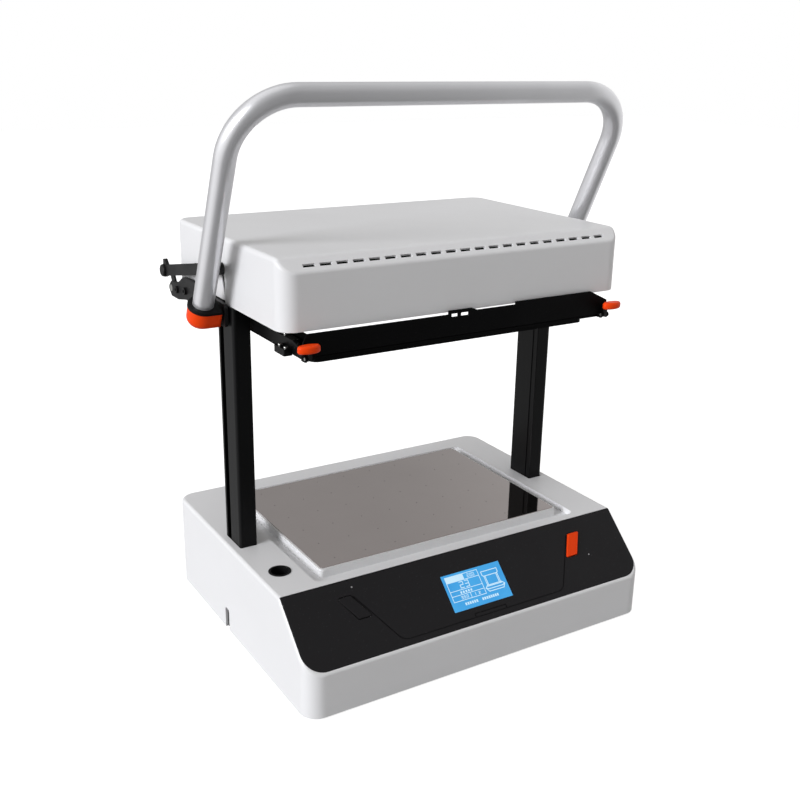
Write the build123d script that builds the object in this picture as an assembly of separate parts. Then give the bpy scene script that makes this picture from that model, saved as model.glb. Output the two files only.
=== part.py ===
from build123d import *
import math
import os

# Desktop vacuum forming machine. Millimetres; X to the right, Y to the back, Z up.
# The origin is the centre of the base's footprint on the table.

# Base cover
BASE_SIDE = 10.5
DECK_HEIGHT = 111.0
SLOPE_RUN = 64.1
DECK_LIP = 10.2
DECK_REAR = 30.6
SLOPE_ANGLE = 43.0
BASE_CORNER = 19.0
BASE_RIM = 4.0
BASE_CREASE = 5.0
BASE_WALL = 3.0
FOOT_HEIGHT = 3.0
FOOT_RADIUS = 9.0
FOOT_INSET = 38.0
FLOOR_SHEET = 2.0

# Forming platen on its plinth
PLATEN_WIDTH = 313.2
PLATEN_DEPTH = 219.3
PLATEN_THICK = 3.0
PLATEN_PROUD = 3.6
PLATEN_CORNER = 3.0
HOLE_RADIUS = 0.6
HOLE_PITCH = 38.0
HOLE_COLUMNS = 8
HOLE_ROWS = 6
PLINTH_MARGIN = 2.4
RECESS_DEPTH = 7.0
RECESS_SIDE = 13.5
RECESS_FRONT = 16.0
RECESS_BACK = 8.0

# Vacuum chamber and motor
CHAMBER_DEPTH = 15.6
CHAMBER_WALL = 2.0
CHAMBER_INSET = 7.0
OUTLET_X = 60.0
OUTLET_RADIUS = 13.0
MOTOR_RADIUS = 52.0
MOTOR_HEIGHT = 74.0
MOTOR_WALL = 2.5
FAN_RADIUS = 44.0
FAN_BLADES = 9
FAN_HEIGHT = 14.0
SHAFT_RADIUS = 4.0

# Control panel
PANEL_THICK = 2.5
PANEL_SIDE = 2.0
PANEL_LENGTH = 84.5
PANEL_CORNER = 22.0
SCREEN_WIDTH = 78.0
SCREEN_HEIGHT = 42.6
SCREEN_X = 2.0
SCREEN_DROP = 45.7
SCREEN_GLASS = 1.5
GROOVE_WIDTH = 1.2
GROOVE_DEPTH = 1.0
BUTTON_WIDTH = 15.6
BUTTON_LENGTH = 26.0
BUTTON_LEAN = 16.0
BUTTON_DROP = 30.6
BUTTON_X = 144.5
BUTTON_GAP = 0.85
BUTTON_TRAVEL = 1.5
START_PROUD = 1.6
MENU_PROUD = 0.6
LIGHT_RADIUS = 0.9

# Columns
COLUMN_GAP = 4.0
COLUMN_THICK = 19.5
COLUMN_DEEP = 40.0
COLUMN_AHEAD = 19.85
COLUMN_FOOT = 8.0
COLUMN_WALL = 2.2
COLUMN_ROUND = 4.0
SLOT_INSET = 9.5
SLOT_MOUTH = 10.0
SLOT_WIDTH = 15.0
SLOT_LIP = 3.0
SLOT_DEPTH = 10.5

# Heater head
HEAD_SIDE = 2.0
HEAD_FRONT_GAP = 0.5
HEAD_REAR = 17.0
HEAD_OVER = 25.2
HEAD_HEIGHT = 69.0
HEAD_CORNER = 17.0
HEAD_RIM = 4.5
HEAD_CREASE = 9.0
HEAD_WALL = 2.5
FACET_RUN = 15.0
FACET_ANGLE = 40.9
VENT_COUNT = 21
VENT_PITCH = 17.7
VENT_LENGTH = 13.0
VENT_WIDTH = 3.8
VENT_X = 1.2
VENT_DROP = 11.9
ARCH_WIDTH = 35.0
ARCH_HEIGHT = 40.0
COVER_GAP = 10.5
COVER_FOOT = 3.2
LINER_THICK = 1.2
CHASSIS_THICK = 3.0
REFLECTOR_WIDTH = 330.0
REFLECTOR_DEPTH = 216.0
REFLECTOR_HEIGHT = 34.0
REFLECTOR_WALL = 1.2
HEATER_COUNT = 7
HEATER_RADIUS = 5.0
GUARD_PITCH = 26.0

# Clamp frames
FRAME_AHEAD = 20.3
FRAME_BEHIND = 12.6
FRAME_SHEET = 2.0
SHEET_REST = 1.2
WINDOW_GAP = 1.5
SKIRT_DROP = 8.0
SKIRT_OUT = 10.0
GASKET_THICK = 0.8
GASKET_WIDTH = 10.0
UPPER_FLANGE = 12.5
UPPER_AHEAD = 4.0
UPPER_SHORT = 6.0
UPPER_WALL = 15.0
BAR_PAST = 2.0
BAR_GAP = 1.5
BAR_BEVEL = 24.0
CARRIAGE_TRAVEL = 240.0

# Carriage
PLATE_GAP = 1.5
PLATE_THICK = 3.8
LINK_GAP = 0.4
LINK_THICK = 3.6
RAIL_GAP = 6.5
RAIL_WIDTH = 9.0
RAIL_HEIGHT = 12.0
BRIDGE_AWAY = 3.0
BRIDGE_DEEP = 12.0
BRIDGE_DROP = 3.0
SHOE_GAP = 0.6

# Handle linkage
LEAN = 25.3
TUBE_BEHIND = 21.4
TUBE_LIFT = 0.1
PIVOT_DROP = 11.0
CRANK = 53.5
HINGE_BEHIND = 20.0
HINGE_LIFT = 15.0
REAR_PIN_BEHIND = 10.3
REAR_PIN_LIFT = 18.7

# Handle
HANDLE_GAP = 17.7
HANDLE_RADIUS = 11.0
HANDLE_WALL = 1.5
HANDLE_LENGTH = 234.3
HANDLE_BEND = 62.0
CAP_RADIUS = 15.5
CAP_GAP = 1.7
CAP_LENGTH = 22.0
CAP_EASE = 11.0
CAP_EDGE = 2.0
CAP_FOOT = 10.0
COLLAR_HEIGHT = 3.6
PIN_RADIUS = 5.0
LINK_PIN = 3.0
LINK_HEAD = 4.2
LINK_BACK = 5.0
ROCKER_THICK = 2.1
RUNNING = 0.05
LINK_SLACK = 1.8
LINK_WIDTH = 12.6

# Latches
LATCH_PAST = 1.0
LATCH_AHEAD = 2.8
LATCH_LIFT = 0.7
LATCH_EYE = 2.6
THUMB_WIDTH = 23.5
THUMB_DEPTH = 12.4
THUMB_HEIGHT = 7.8
THUMB_AHEAD = 9.8
THUMB_LIFT = 12.2

# Rear services
INLET_X = -150.0
INLET_Z = 40.0
SWITCH_X = -105.0
LOUVRE_COUNT = 9

# Circuit boards on the floor
BOARD_POST = 8.0
BOARD_SHEET = 1.6
BOARD_INSET = 5.0
CONTROL_SIDE = 40.0
CONTROL_WIDTH = 90.0
CONTROL_FRONT = -120.0
CONTROL_DEEP = 80.0
POWER_SIDE = 20.0
POWER_WIDTH = 110.0
POWER_FRONT = 30.0
POWER_DEEP = 90.0

# Port in the left side, as (front, back) of its notch
NOTCH = (22.0, 32.5)
NOTCH_TOP = 29.0
SENSOR_RADIUS = 12.0

# Everything that follows from the sizes above, from the platen outwards
PLINTH_HALF = PLATEN_WIDTH / 2 + PLINTH_MARGIN
WINDOW_HALF = PLINTH_HALF + WINDOW_GAP
UPPER_HALF = WINDOW_HALF + UPPER_FLANGE
RAIL_INNER = WINDOW_HALF + GASKET_WIDTH + RAIL_GAP
FRAME_HALF = RAIL_INNER + RAIL_WIDTH
BAR_HALF = FRAME_HALF + BAR_PAST
LATCH_X = FRAME_HALF + LATCH_PAST
COLUMN_INNER = FRAME_HALF + COLUMN_GAP
COLUMN_OUTER = COLUMN_INNER + COLUMN_THICK
PLATE_INNER = COLUMN_OUTER + PLATE_GAP
CAP_INNER = PLATE_INNER + PLATE_THICK + CAP_GAP
HANDLE_X = PLATE_INNER + PLATE_THICK + HANDLE_GAP
HEAD_WIDTH = 2 * (COLUMN_OUTER - HEAD_SIDE)
BAFFLE_HALF = HEAD_WIDTH / 2 - HEAD_CORNER - HEAD_WALL
BASE_WIDTH = 2 * (COLUMN_OUTER + BASE_SIDE)
HALF = BASE_WIDTH / 2

PLINTH_DEPTH = PLATEN_DEPTH + 2 * PLINTH_MARGIN
BASE_DEPTH = SLOPE_RUN + DECK_LIP + RECESS_FRONT + PLINTH_DEPTH + RECESS_BACK + DECK_REAR
FRONT = -BASE_DEPTH / 2
BACK = BASE_DEPTH / 2
DECK_EDGE = FRONT + SLOPE_RUN
PLATEN_MID_Y = DECK_EDGE + DECK_LIP + RECESS_FRONT + PLINTH_DEPTH / 2
PLINTH_FRONT = PLATEN_MID_Y - PLINTH_DEPTH / 2
PLINTH_BACK = PLATEN_MID_Y + PLINTH_DEPTH / 2
WINDOW_FRONT = PLINTH_FRONT - WINDOW_GAP
WINDOW_BACK = PLINTH_BACK + WINDOW_GAP
FRAME_FRONT = WINDOW_FRONT - FRAME_AHEAD
FRAME_BACK = WINDOW_BACK + FRAME_BEHIND
UPPER_FRONT = FRAME_FRONT - UPPER_AHEAD
UPPER_BACK = FRAME_BACK - UPPER_SHORT
HEAD_FRONT = FRAME_FRONT + HEAD_FRONT_GAP
HEAD_BACK = FRAME_BACK + HEAD_REAR
COLUMN_FRONT = PLATEN_MID_Y - COLUMN_AHEAD
COLUMN_BACK = COLUMN_FRONT + COLUMN_DEEP
SLOT_MID = COLUMN_BACK - SLOT_INSET
ARCH_Y = COLUMN_BACK
BRIDGE_FRONT = COLUMN_BACK + BRIDGE_AWAY
BRIDGE_BACK = BRIDGE_FRONT + BRIDGE_DEEP

PLATEN_TOP = DECK_HEIGHT + PLATEN_PROUD
PLINTH_TOP = PLATEN_TOP - PLATEN_THICK
SHEET_PLANE = PLATEN_TOP + SHEET_REST + CARRIAGE_TRAVEL
LOWER_TOP = SHEET_PLANE - GASKET_THICK
UPPER_BOTTOM = SHEET_PLANE + 0.4 + GASKET_THICK
HEAD_BOTTOM = SHEET_PLANE + HEAD_OVER
HEAD_TOP = HEAD_BOTTOM + HEAD_HEIGHT
BAR_TOP = HEAD_BOTTOM - BAR_GAP
BRIDGE_TOP = HEAD_BOTTOM - BRIDGE_DROP

# Pivots and other places in the side view, as (y, z) at rest
HINGE_SHAFT = (FRAME_BACK + HINGE_BEHIND, LOWER_TOP + HINGE_LIFT)
REAR_PIN = (HINGE_SHAFT[0] + REAR_PIN_BEHIND, HINGE_SHAFT[1] + REAR_PIN_LIFT)
TUBE_END = (COLUMN_FRONT + TUBE_BEHIND, HEAD_BOTTOM + TUBE_LIFT)
LATCH_PIVOT = (UPPER_FRONT - LATCH_AHEAD, SHEET_PLANE + LATCH_LIFT)
THUMB_MID = (UPPER_FRONT - THUMB_AHEAD, SHEET_PLANE + THUMB_LIFT)

SLOPE = math.radians(SLOPE_ANGLE)
PANEL_NORMAL = (0, -math.sin(SLOPE), math.cos(SLOPE))
PANEL_SEAT = PANEL_THICK + BASE_WALL
KEY_SEAT = PANEL_SEAT + 0.3
PANEL_PLANE = Plane(origin=(0, DECK_EDGE, DECK_HEIGHT), x_dir=(1, 0, 0), z_dir=PANEL_NORMAL)
CHAMBER_BOTTOM = PLINTH_TOP - CHAMBER_DEPTH
FLOOR_Z = FOOT_HEIGHT + FLOOR_SHEET
MOTOR_TOP = FLOOR_Z + MOTOR_HEIGHT
UP = (0, -math.sin(math.radians(LEAN)), math.cos(math.radians(LEAN)))
LEG_END = Vector(HANDLE_X, *TUBE_END)
PIVOT = LEG_END - Vector(*UP) * PIVOT_DROP
LINK_FRONT = PIVOT + Vector(*UP) * CRANK + Vector(0, UP[2], -UP[1]) * LINK_BACK
LINK_INNER = PLATE_INNER + PLATE_THICK + LINK_GAP
EPS = 1.0


def box(x0, x1, y0, y1, z0, z1):
    """A block between two corners."""
    size = (x1 - x0, y1 - y0, z1 - z0)
    return Pos((x0 + x1) / 2, (y0 + y1) / 2, (z0 + z1) / 2) * Box(*size)


def slab(x0, x1, y0, y1, z0, z1, radius):
    """A block whose upright corners are rounded."""
    outline = RectangleRounded(x1 - x0, y1 - y0, radius)
    return extrude(Pos((x0 + x1) / 2, (y0 + y1) / 2, z0) * outline, z1 - z0)


def ring(outer, inner, z0, z1, radius, inner_radius):
    """A rectangular frame, each outline as (x0, x1, y0, y1)."""
    return slab(*outer, z0, z1, radius) - slab(*inner, z0 - EPS, z1 + EPS, inner_radius)


def rod(centre, radius, length, axis="Z"):
    """A round bar that starts at centre and runs along an axis."""
    turn = {"X": Rot(0, 90, 0), "Y": Rot(-90, 0, 0), "Z": Rot(0, 0, 0)}[axis]
    align = (Align.CENTER, Align.CENTER, Align.MIN)
    return Pos(*centre) * turn * Cylinder(radius, length, align=align)


def side_plate(points, x0, thick, radius=0.0):
    """A plate drawn as (y, z) points in the side view, rising in X from x0."""
    face = make_face(Polyline(*points, close=True))
    if radius:
        face = fillet(face.vertices(), radius)
    return extrude(Plane(origin=(x0, 0, 0), x_dir=(0, 1, 0), z_dir=(1, 0, 0)) * face, thick)


def mirrored(shape):
    """The left-hand copy of a right-hand piece."""
    return mirror(shape, about=Plane.YZ)


def sloped_profile(front, back, top, bottom, run, angle, inset):
    """Side outline with a sloped front edge, drawn in evenly by inset."""
    lean = math.radians(angle)
    edge = front + run + inset * math.tan(lean / 2)
    drop = run * math.tan(lean) + inset * (1 - math.sin(lean)) / math.cos(lean)
    low = top - drop
    return [
        (front + inset, bottom),
        (front + inset, low),
        (edge, top - inset),
        (back - inset, top - inset),
        (back - inset, bottom),
    ]


def sloped_block(width, front, back, top, bottom, run, angle, corner, crease, inset=0.0, rim=0.0):
    """A moulded cover's outer form: level top, sloped front edge and round upright corners."""
    points = sloped_profile(front, back, top, bottom, run, angle, inset)
    face = make_face(Polyline(*points, close=True))
    bend = max(face.vertices().filter_by(lambda v: v.Y > top - inset - 0.01), key=lambda v: -v.X)
    face = fillet(bend, crease)
    half = width / 2 - inset
    side = Plane(origin=(-half, 0, 0), x_dir=(0, 1, 0), z_dir=(1, 0, 0))
    body = extrude(side * face, 2 * half)
    body = body & slab(-half, half, front + inset, back - inset, bottom, top, corner - inset)
    if rim:
        body = fillet(rim_edges(body, top, bottom, front, run, angle), rim)
    return body


def rim_edges(body, top, bottom, front, run, angle):
    """The edges where the top and the sloped edge meet the upright walls."""
    low = top - run * math.tan(math.radians(angle))
    edge = front + run
    chosen = []
    for e in body.edges():
        middle = e @ 0.5
        upright = e.geom_type == GeomType.LINE and abs((e % 0.5).Z) > 0.99
        inner = middle.Y > front + 0.5 and abs(e.tangent_at(0.5).X) > 0.99 and middle.Y < edge + 20
        if middle.Z > low - 0.1 and middle.Z > bottom + 0.1 and not upright and not inner:
            chosen.append(e)
    return chosen


def base_block(inset, bottom, rim=0.0):
    return sloped_block(
        BASE_WIDTH, FRONT, BACK, DECK_HEIGHT, bottom, SLOPE_RUN, SLOPE_ANGLE, BASE_CORNER, BASE_CREASE,
        inset, rim,
    )


def head_block(inset, bottom, rim=0.0):
    return sloped_block(
        HEAD_WIDTH, HEAD_FRONT, HEAD_BACK, HEAD_TOP, bottom, FACET_RUN, FACET_ANGLE, HEAD_CORNER,
        HEAD_CREASE, inset, rim,
    )


def on_panel(shape):
    """Places a shape drawn as (right, up the slope, outward) on the control panel."""
    return PANEL_PLANE * shape


def panel_outline(margin=0.0):
    """The control panel's outline: square at the deck, round at the foot."""
    half = HALF - PANEL_SIDE + margin
    length = PANEL_LENGTH + margin
    corners = [(-half, margin), (half, margin), (half, -length), (-half, -length)]
    face = make_face(Polyline(*corners, close=True))
    feet = face.vertices().sort_by(Axis.Y)[:2]
    return fillet(feet, PANEL_CORNER + margin)


def button_outline(side, margin=0.0):
    """A leaning key, with its top edge further out than its foot."""
    lean = BUTTON_LEAN / 2
    reach = BUTTON_WIDTH / 2 + margin
    rise = BUTTON_LENGTH / 2 + margin
    points = [(-reach + lean, rise), (reach + lean, rise), (reach - lean, -rise), (-reach - lean, -rise)]
    points = [(side * (BUTTON_X + x), y - BUTTON_DROP) for x, y in points]
    return fillet(make_face(Polyline(*points, close=True)).vertices(), 1.5 + margin)


def screen_outline(margin=0.0):
    width, height = SCREEN_WIDTH + 2 * margin, SCREEN_HEIGHT + 2 * margin
    return Pos(SCREEN_X, -SCREEN_DROP) * RectangleRounded(width, height, 1.2)


def centre_field():
    """The grooved centre field, its sides in line with the keys."""
    lean = BUTTON_LEAN / BUTTON_LENGTH
    top = BUTTON_X - BUTTON_WIDTH / 2 - BUTTON_GAP + BUTTON_LEAN / 2 + lean * BUTTON_GAP - 1.2
    head = -(BUTTON_DROP - BUTTON_LENGTH / 2)
    foot = -(PANEL_LENGTH - 6.0)
    bottom = top - lean * (head - foot)
    corners = [(-top, head), (top, head), (bottom, foot), (-bottom, foot)]
    face = make_face(Polyline(*corners, close=True))
    low = face.vertices().sort_by(Axis.Y)[:2]
    return fillet(low, 14.0)


def plinth_area(grow, z0, z1, radius=4.0):
    return slab(
        -PLINTH_HALF - grow, PLINTH_HALF + grow, PLINTH_FRONT - grow, PLINTH_BACK + grow, z0, z1, radius,
    )


def recess_area(margin, z0, z1):
    return slab(
        -PLINTH_HALF - RECESS_SIDE - margin, PLINTH_HALF + RECESS_SIDE + margin,
        PLINTH_FRONT - RECESS_FRONT - margin, PLINTH_BACK + RECESS_BACK + margin, z0, z1, 8.0,
    )


def chamber_area(margin, z0, z1):
    inset = CHAMBER_INSET - margin
    return plinth_area(-inset, z0, z1, 3.0)


def column_hole(gap, z0, z1):
    return slab(
        COLUMN_INNER - gap, COLUMN_OUTER + gap, COLUMN_FRONT - gap, COLUMN_BACK + gap, z0, z1, 2.0,
    )


def sensor_centre():
    return (-RAIL_INNER - 17.5, PLINTH_FRONT + 24.2)


def make_base_shell():
    inside = base_block(BASE_WALL, FOOT_HEIGHT - EPS)
    inside -= on_panel(Pos(0, 0, 50 - PANEL_SEAT) * Box(2 * BASE_WIDTH, 2 * BASE_WIDTH, 100))
    shell = base_block(0, FOOT_HEIGHT, BASE_RIM) - inside
    floor = DECK_HEIGHT - RECESS_DEPTH
    shell += recess_area(BASE_WALL, floor - BASE_WALL, DECK_HEIGHT - BASE_WALL / 2)
    shell -= recess_area(0, floor, DECK_HEIGHT + EPS)
    shell += plinth_area(0, floor - BASE_WALL, PLINTH_TOP)
    shell -= chamber_area(0, floor - BASE_WALL - EPS, PLINTH_TOP + EPS)
    pocket = extrude(panel_outline(0.3), 20, both=True)
    pocket &= Pos(0, 0, -PANEL_THICK + 10) * Box(900, 900, 20)
    shell -= on_panel(pocket)
    deep = 30
    shell -= on_panel(extrude(screen_outline(-1.5), deep, both=True))
    for side in (1, -1):
        shell -= on_panel(extrude(button_outline(side, BUTTON_GAP), deep, both=True))
        hole = column_hole(0.4, DECK_HEIGHT - 2 * BASE_WALL, DECK_HEIGHT + EPS)
        shell -= hole if side > 0 else mirrored(hole)
        x = side * (HALF - FOOT_INSET)
        x0, x1 = sorted((x, side * (HALF - BASE_WALL / 2)))
        for y in (FRONT + FOOT_INSET, BACK - FOOT_INSET):
            post = rod((x, y, FLOOR_Z), 5.0, 14.0)
            post += box(x0, x1, y - 1.5, y + 1.5, FLOOR_Z, FLOOR_Z + 14)
            shell += post - rod((x, y, FLOOR_Z - EPS), 1.6, 13.0)
    x, y = sensor_centre()
    shell -= rod((x, y, DECK_HEIGHT - 3 * BASE_WALL), SENSOR_RADIUS - 1.1, 20)
    shell -= notch()
    shell -= inlet_hole(0) + switch_hole(0)
    for i in range(LOUVRE_COUNT):
        shell -= box(40, 104, BACK - BASE_WALL - EPS, BACK + EPS, 20 + 7 * i, 23 + 7 * i)
    return shell


def notch():
    """The round-topped notch in the left wall."""
    low = FOOT_HEIGHT - EPS
    outline = [(NOTCH[0], low), (NOTCH[1], low), (NOTCH[1], NOTCH_TOP), (NOTCH[0], NOTCH_TOP)]
    block = side_plate(outline, -HALF - EPS, BASE_WALL + 2 * EPS)
    return fillet(block.edges().filter_by(Axis.X).group_by(Axis.Z)[-1], 3.5)


def inlet_hole(grow):
    return box(
        INLET_X - 14 - grow, INLET_X + 14 + grow, BACK - 20, BACK + 5,
        INLET_Z - 10.2 - grow, INLET_Z + 10.2 + grow,
    )


def switch_hole(grow):
    return box(
        SWITCH_X - 10 - grow, SWITCH_X + 10 + grow, BACK - 20, BACK + 5,
        INLET_Z - 7 - grow, INLET_Z + 7 + grow,
    )


def make_bottom_plate():
    gap = BASE_WALL + 0.3
    plate = slab(-HALF + gap, HALF - gap, FRONT + gap, BACK - gap, FOOT_HEIGHT, FLOOR_Z, BASE_CORNER - gap)
    for x in (-HALF + FOOT_INSET, HALF - FOOT_INSET):
        for y in (FRONT + FOOT_INSET, BACK - FOOT_INSET):
            plate -= rod((x, y, 0), 2.2, 20)
    return plate


def make_feet():
    feet = []
    for x in (-HALF + FOOT_INSET, HALF - FOOT_INSET):
        for y in (FRONT + FOOT_INSET, BACK - FOOT_INSET):
            foot = Pos(x, y, FOOT_HEIGHT / 2) * Cone(FOOT_RADIUS - 1, FOOT_RADIUS, FOOT_HEIGHT)
            feet.append(foot + rod((x, y, 0), 2.1, FLOOR_Z))
    return Compound(feet)


def make_panel():
    panel = extrude(panel_outline(), -PANEL_THICK)
    panel -= extrude(screen_outline(), 2 * PANEL_THICK, both=True)
    for side in (1, -1):
        panel -= extrude(button_outline(side, BUTTON_GAP), 2 * PANEL_THICK, both=True)
        panel -= Pos(*light_place(side), 0) * Cylinder(LIGHT_RADIUS, 4 * PANEL_THICK)
    field = centre_field()
    groove = extrude(field, -GROOVE_DEPTH) - extrude(offset(field, -GROOVE_WIDTH), -2 * GROOVE_DEPTH)
    groove -= extrude(screen_outline(), 10, both=True)
    head = -(BUTTON_DROP - BUTTON_LENGTH / 2)
    groove -= Pos(0, head, 0) * Box(BASE_WIDTH, 2 * GROOVE_WIDTH + 0.2, 10)
    tab = Pos(6.0, -(PANEL_LENGTH - 8.6)) * Rectangle(42.0, 5.4)
    groove += extrude(tab, -GROOVE_DEPTH) - extrude(offset(tab, -GROOVE_WIDTH), -2 * GROOVE_DEPTH)
    return on_panel(panel - groove) & base_block(0, FOOT_HEIGHT, BASE_RIM)


def light_place(side):
    """The left light stands above the menu key, the right one beside the start key."""
    return (-139.8, -9.3) if side < 0 else (160.5, -47.4)


def make_lights():
    lens = rod((0, 0, -PANEL_THICK), LIGHT_RADIUS, PANEL_THICK + 0.1)
    return Compound([on_panel(Pos(*light_place(s), 0) * lens) for s in (1, -1)])


def make_screen_glass():
    return on_panel(Pos(0, 0, -SCREEN_GLASS) * extrude(screen_outline(), SCREEN_GLASS))


def make_display_module():
    face = extrude(screen_outline(-0.2), -(PANEL_THICK - SCREEN_GLASS))
    face = Pos(0, 0, -SCREEN_GLASS) * face
    case = Pos(SCREEN_X, -SCREEN_DROP, -PANEL_THICK - 4.0) * Box(SCREEN_WIDTH - 4, SCREEN_HEIGHT - 4, 8.0)
    module = face + case + Pos(SCREEN_X, -SCREEN_DROP, -PANEL_THICK - 8.8) * Box(
        SCREEN_WIDTH + 14, SCREEN_HEIGHT + 8, 1.6)
    post = PANEL_THICK + 8.0 - PANEL_SEAT
    for dx in (-42.0, 42.0):
        for dy in (-20.0, 20.0):
            module += Pos(SCREEN_X + dx, dy - SCREEN_DROP, -PANEL_SEAT - post / 2) * Cylinder(2.2, post)
    return on_panel(module)


def make_button(side, proud):
    """A key with a flange behind the cover and a stem for its switch."""
    seat = KEY_SEAT
    key = Pos(0, 0, -seat) * extrude(button_outline(side), seat + proud)
    top = key.faces().sort_by(Axis.Z)[-1]
    key = fillet(top.edges(), min(0.8, proud))
    flange = Pos(0, 0, -seat - 1.5) * extrude(button_outline(side, 1.6), 1.5)
    stem = Pos(side * BUTTON_X, -BUTTON_DROP, -seat - 3.3) * Cylinder(3.0, 4.0)
    return on_panel(key + flange + stem)


def make_button_switches():
    """A small board on two posts behind each key, with its press switch."""
    parts = []
    top = -KEY_SEAT - 5.3 - BUTTON_TRAVEL - 0.3
    board_top = top - 5.0
    for side in (1, -1):
        x, y = side * BUTTON_X, -BUTTON_DROP
        unit = Pos(x, y, top - 2.5) * Box(12, 12, 5) + Pos(x, y, board_top - 0.8) * Box(44, 34, 1.6)
        for dx in (-19.0, 19.0):
            unit += Pos(x + dx, y, (board_top - PANEL_SEAT) / 2) * Cylinder(2.5, -PANEL_SEAT - board_top)
        parts.append(on_panel(unit))
    return Compound(parts)


def make_sensor_bezel():
    x, y = sensor_centre()
    radius = SENSOR_RADIUS
    bezel = rod((x, y, DECK_HEIGHT), radius, 0.6) + rod((x, y, DECK_HEIGHT - 13), radius - 1.5, 13)
    bezel -= rod((x, y, DECK_HEIGHT - 12), radius - 2.3, 20)
    return bezel


def make_sensor_cup():
    x, y = sensor_centre()
    cup = rod((x, y, DECK_HEIGHT - 12), SENSOR_RADIUS - 2.4, 3.0)
    return cup + rod((x, y, DECK_HEIGHT - 9), 4.0, 2.0)


def make_platen():
    half, deep = PLATEN_WIDTH / 2, PLATEN_DEPTH / 2
    front, back = PLATEN_MID_Y - deep, PLATEN_MID_Y + deep
    plate = slab(-half, half, front, back, PLINTH_TOP, PLATEN_TOP, PLATEN_CORNER)
    holes = []
    for i in range(HOLE_COLUMNS):
        x = (i - (HOLE_COLUMNS - 1) / 2) * HOLE_PITCH
        for j in range(HOLE_ROWS):
            y = PLATEN_MID_Y + (j - (HOLE_ROWS - 1) / 2) * HOLE_PITCH
            holes.append(rod((x, y, PLINTH_TOP - EPS), HOLE_RADIUS, PLATEN_THICK + 2 * EPS))
    return plate - holes


def make_platen_seal():
    half, deep = PLATEN_WIDTH / 2, PLATEN_DEPTH / 2
    width = PLINTH_MARGIN - 0.4
    outer = (-half - width, half + width, PLATEN_MID_Y - deep - width, PLATEN_MID_Y + deep + width)
    inner = (-half, half, PLATEN_MID_Y - deep, PLATEN_MID_Y + deep)
    return ring(outer, inner, PLINTH_TOP, PLATEN_TOP - 0.8, PLATEN_CORNER + width, PLATEN_CORNER)


def make_chamber():
    inner = CHAMBER_INSET + CHAMBER_WALL
    tray = chamber_area(0, CHAMBER_BOTTOM, PLINTH_TOP)
    tray -= plinth_area(-inner, CHAMBER_BOTTOM + CHAMBER_WALL, PLINTH_TOP + EPS, 3.0)
    centre = (OUTLET_X, PLATEN_MID_Y, MOTOR_TOP + 4)
    tray += rod(centre, OUTLET_RADIUS + 2, CHAMBER_BOTTOM - MOTOR_TOP - 4)
    return tray - rod((OUTLET_X, PLATEN_MID_Y, MOTOR_TOP), OUTLET_RADIUS, 40)


def make_inlet_seal():
    """A ribbed rubber sleeve between the motor's mouth and the chamber's outlet."""
    inner = OUTLET_RADIUS + 2
    low, high = MOTOR_TOP, CHAMBER_BOTTOM
    count = 3
    step = (high - low) / (2 * count)
    points = [(inner, low)]
    for i in range(2 * count + 1):
        points.append((inner + (4.0 if i % 2 else 2.0), low + i * step))
    points.append((inner, high))
    face = make_face(Polyline(*points, close=True))
    return Pos(OUTLET_X, PLATEN_MID_Y, 0) * revolve(Plane.XZ * face, Axis.Z)


def make_motor_can():
    centre = (OUTLET_X, PLATEN_MID_Y, FLOOR_Z)
    can = rod(centre, MOTOR_RADIUS, MOTOR_HEIGHT)
    can = fillet(can.edges().sort_by(Axis.Z)[-1], 5.0)
    inside = MOTOR_HEIGHT - 2 * MOTOR_WALL
    can -= rod((OUTLET_X, PLATEN_MID_Y, FLOOR_Z + MOTOR_WALL), MOTOR_RADIUS - MOTOR_WALL, inside)
    can -= rod((OUTLET_X, PLATEN_MID_Y, MOTOR_TOP - 2 * MOTOR_WALL), OUTLET_RADIUS, 3 * MOTOR_WALL)
    y = PLATEN_MID_Y
    return can - box(OUTLET_X - 14, OUTLET_X + 14, y + 40, y + 60, FLOOR_Z + 48, FLOOR_Z + 64)


def make_motor_winding():
    """The motor's wound frame, which carries the fan's shaft."""
    x, y = OUTLET_X, PLATEN_MID_Y
    core = rod((x, y, FLOOR_Z + MOTOR_WALL), 30, 38)
    core += rod((x, y, FLOOR_Z + MOTOR_WALL), MOTOR_RADIUS - MOTOR_WALL - 0.4, 9) & box(
        x - MOTOR_RADIUS, x + MOTOR_RADIUS, y - 8, y + 8, FLOOR_Z, FLOOR_Z + 20)
    return core - rod((x, y, FLOOR_Z + MOTOR_WALL + 4), SHAFT_RADIUS + RUNNING, 60)


def make_fan():
    """Shaft, back disc, curved blades and front ring of the suction wheel."""
    low = FLOOR_Z + 46
    fan = rod((0, 0, FLOOR_Z + MOTOR_WALL + 5), SHAFT_RADIUS, low - FLOOR_Z - MOTOR_WALL - 5)
    fan += rod((0, 0, low), FAN_RADIUS, 1.5)
    fan += rod((0, 0, low + 1.5), 9.0, FAN_HEIGHT - 3)
    for i in range(FAN_BLADES):
        curve = [(8, 0), (20, 7), (33, 8), (FAN_RADIUS - 1, 3), (33, 6.2), (20, 5.2)]
        blade = extrude(make_face(Polyline(*curve, close=True)), FAN_HEIGHT - 3)
        fan += Rot(0, 0, i * 360 / FAN_BLADES) * Pos(0, 0, low + 1.5) * blade
    front = rod((0, 0, low + FAN_HEIGHT - 1.5), FAN_RADIUS, 1.5) - rod((0, 0, low), 14.0, 40)
    fan += front
    return Pos(OUTLET_X, PLATEN_MID_Y, 0) * fan


def board_plate(x, y, width, depth):
    """A circuit board on four posts, from its left front corner."""
    low = FLOOR_Z + BOARD_POST
    board = box(x, x + width, y, y + depth, low, low + BOARD_SHEET)
    for px in (x + BOARD_INSET, x + width - BOARD_INSET):
        for py in (y + BOARD_INSET, y + depth - BOARD_INSET):
            board += rod((px, py, FLOOR_Z), 3, BOARD_POST)
    return board


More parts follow.
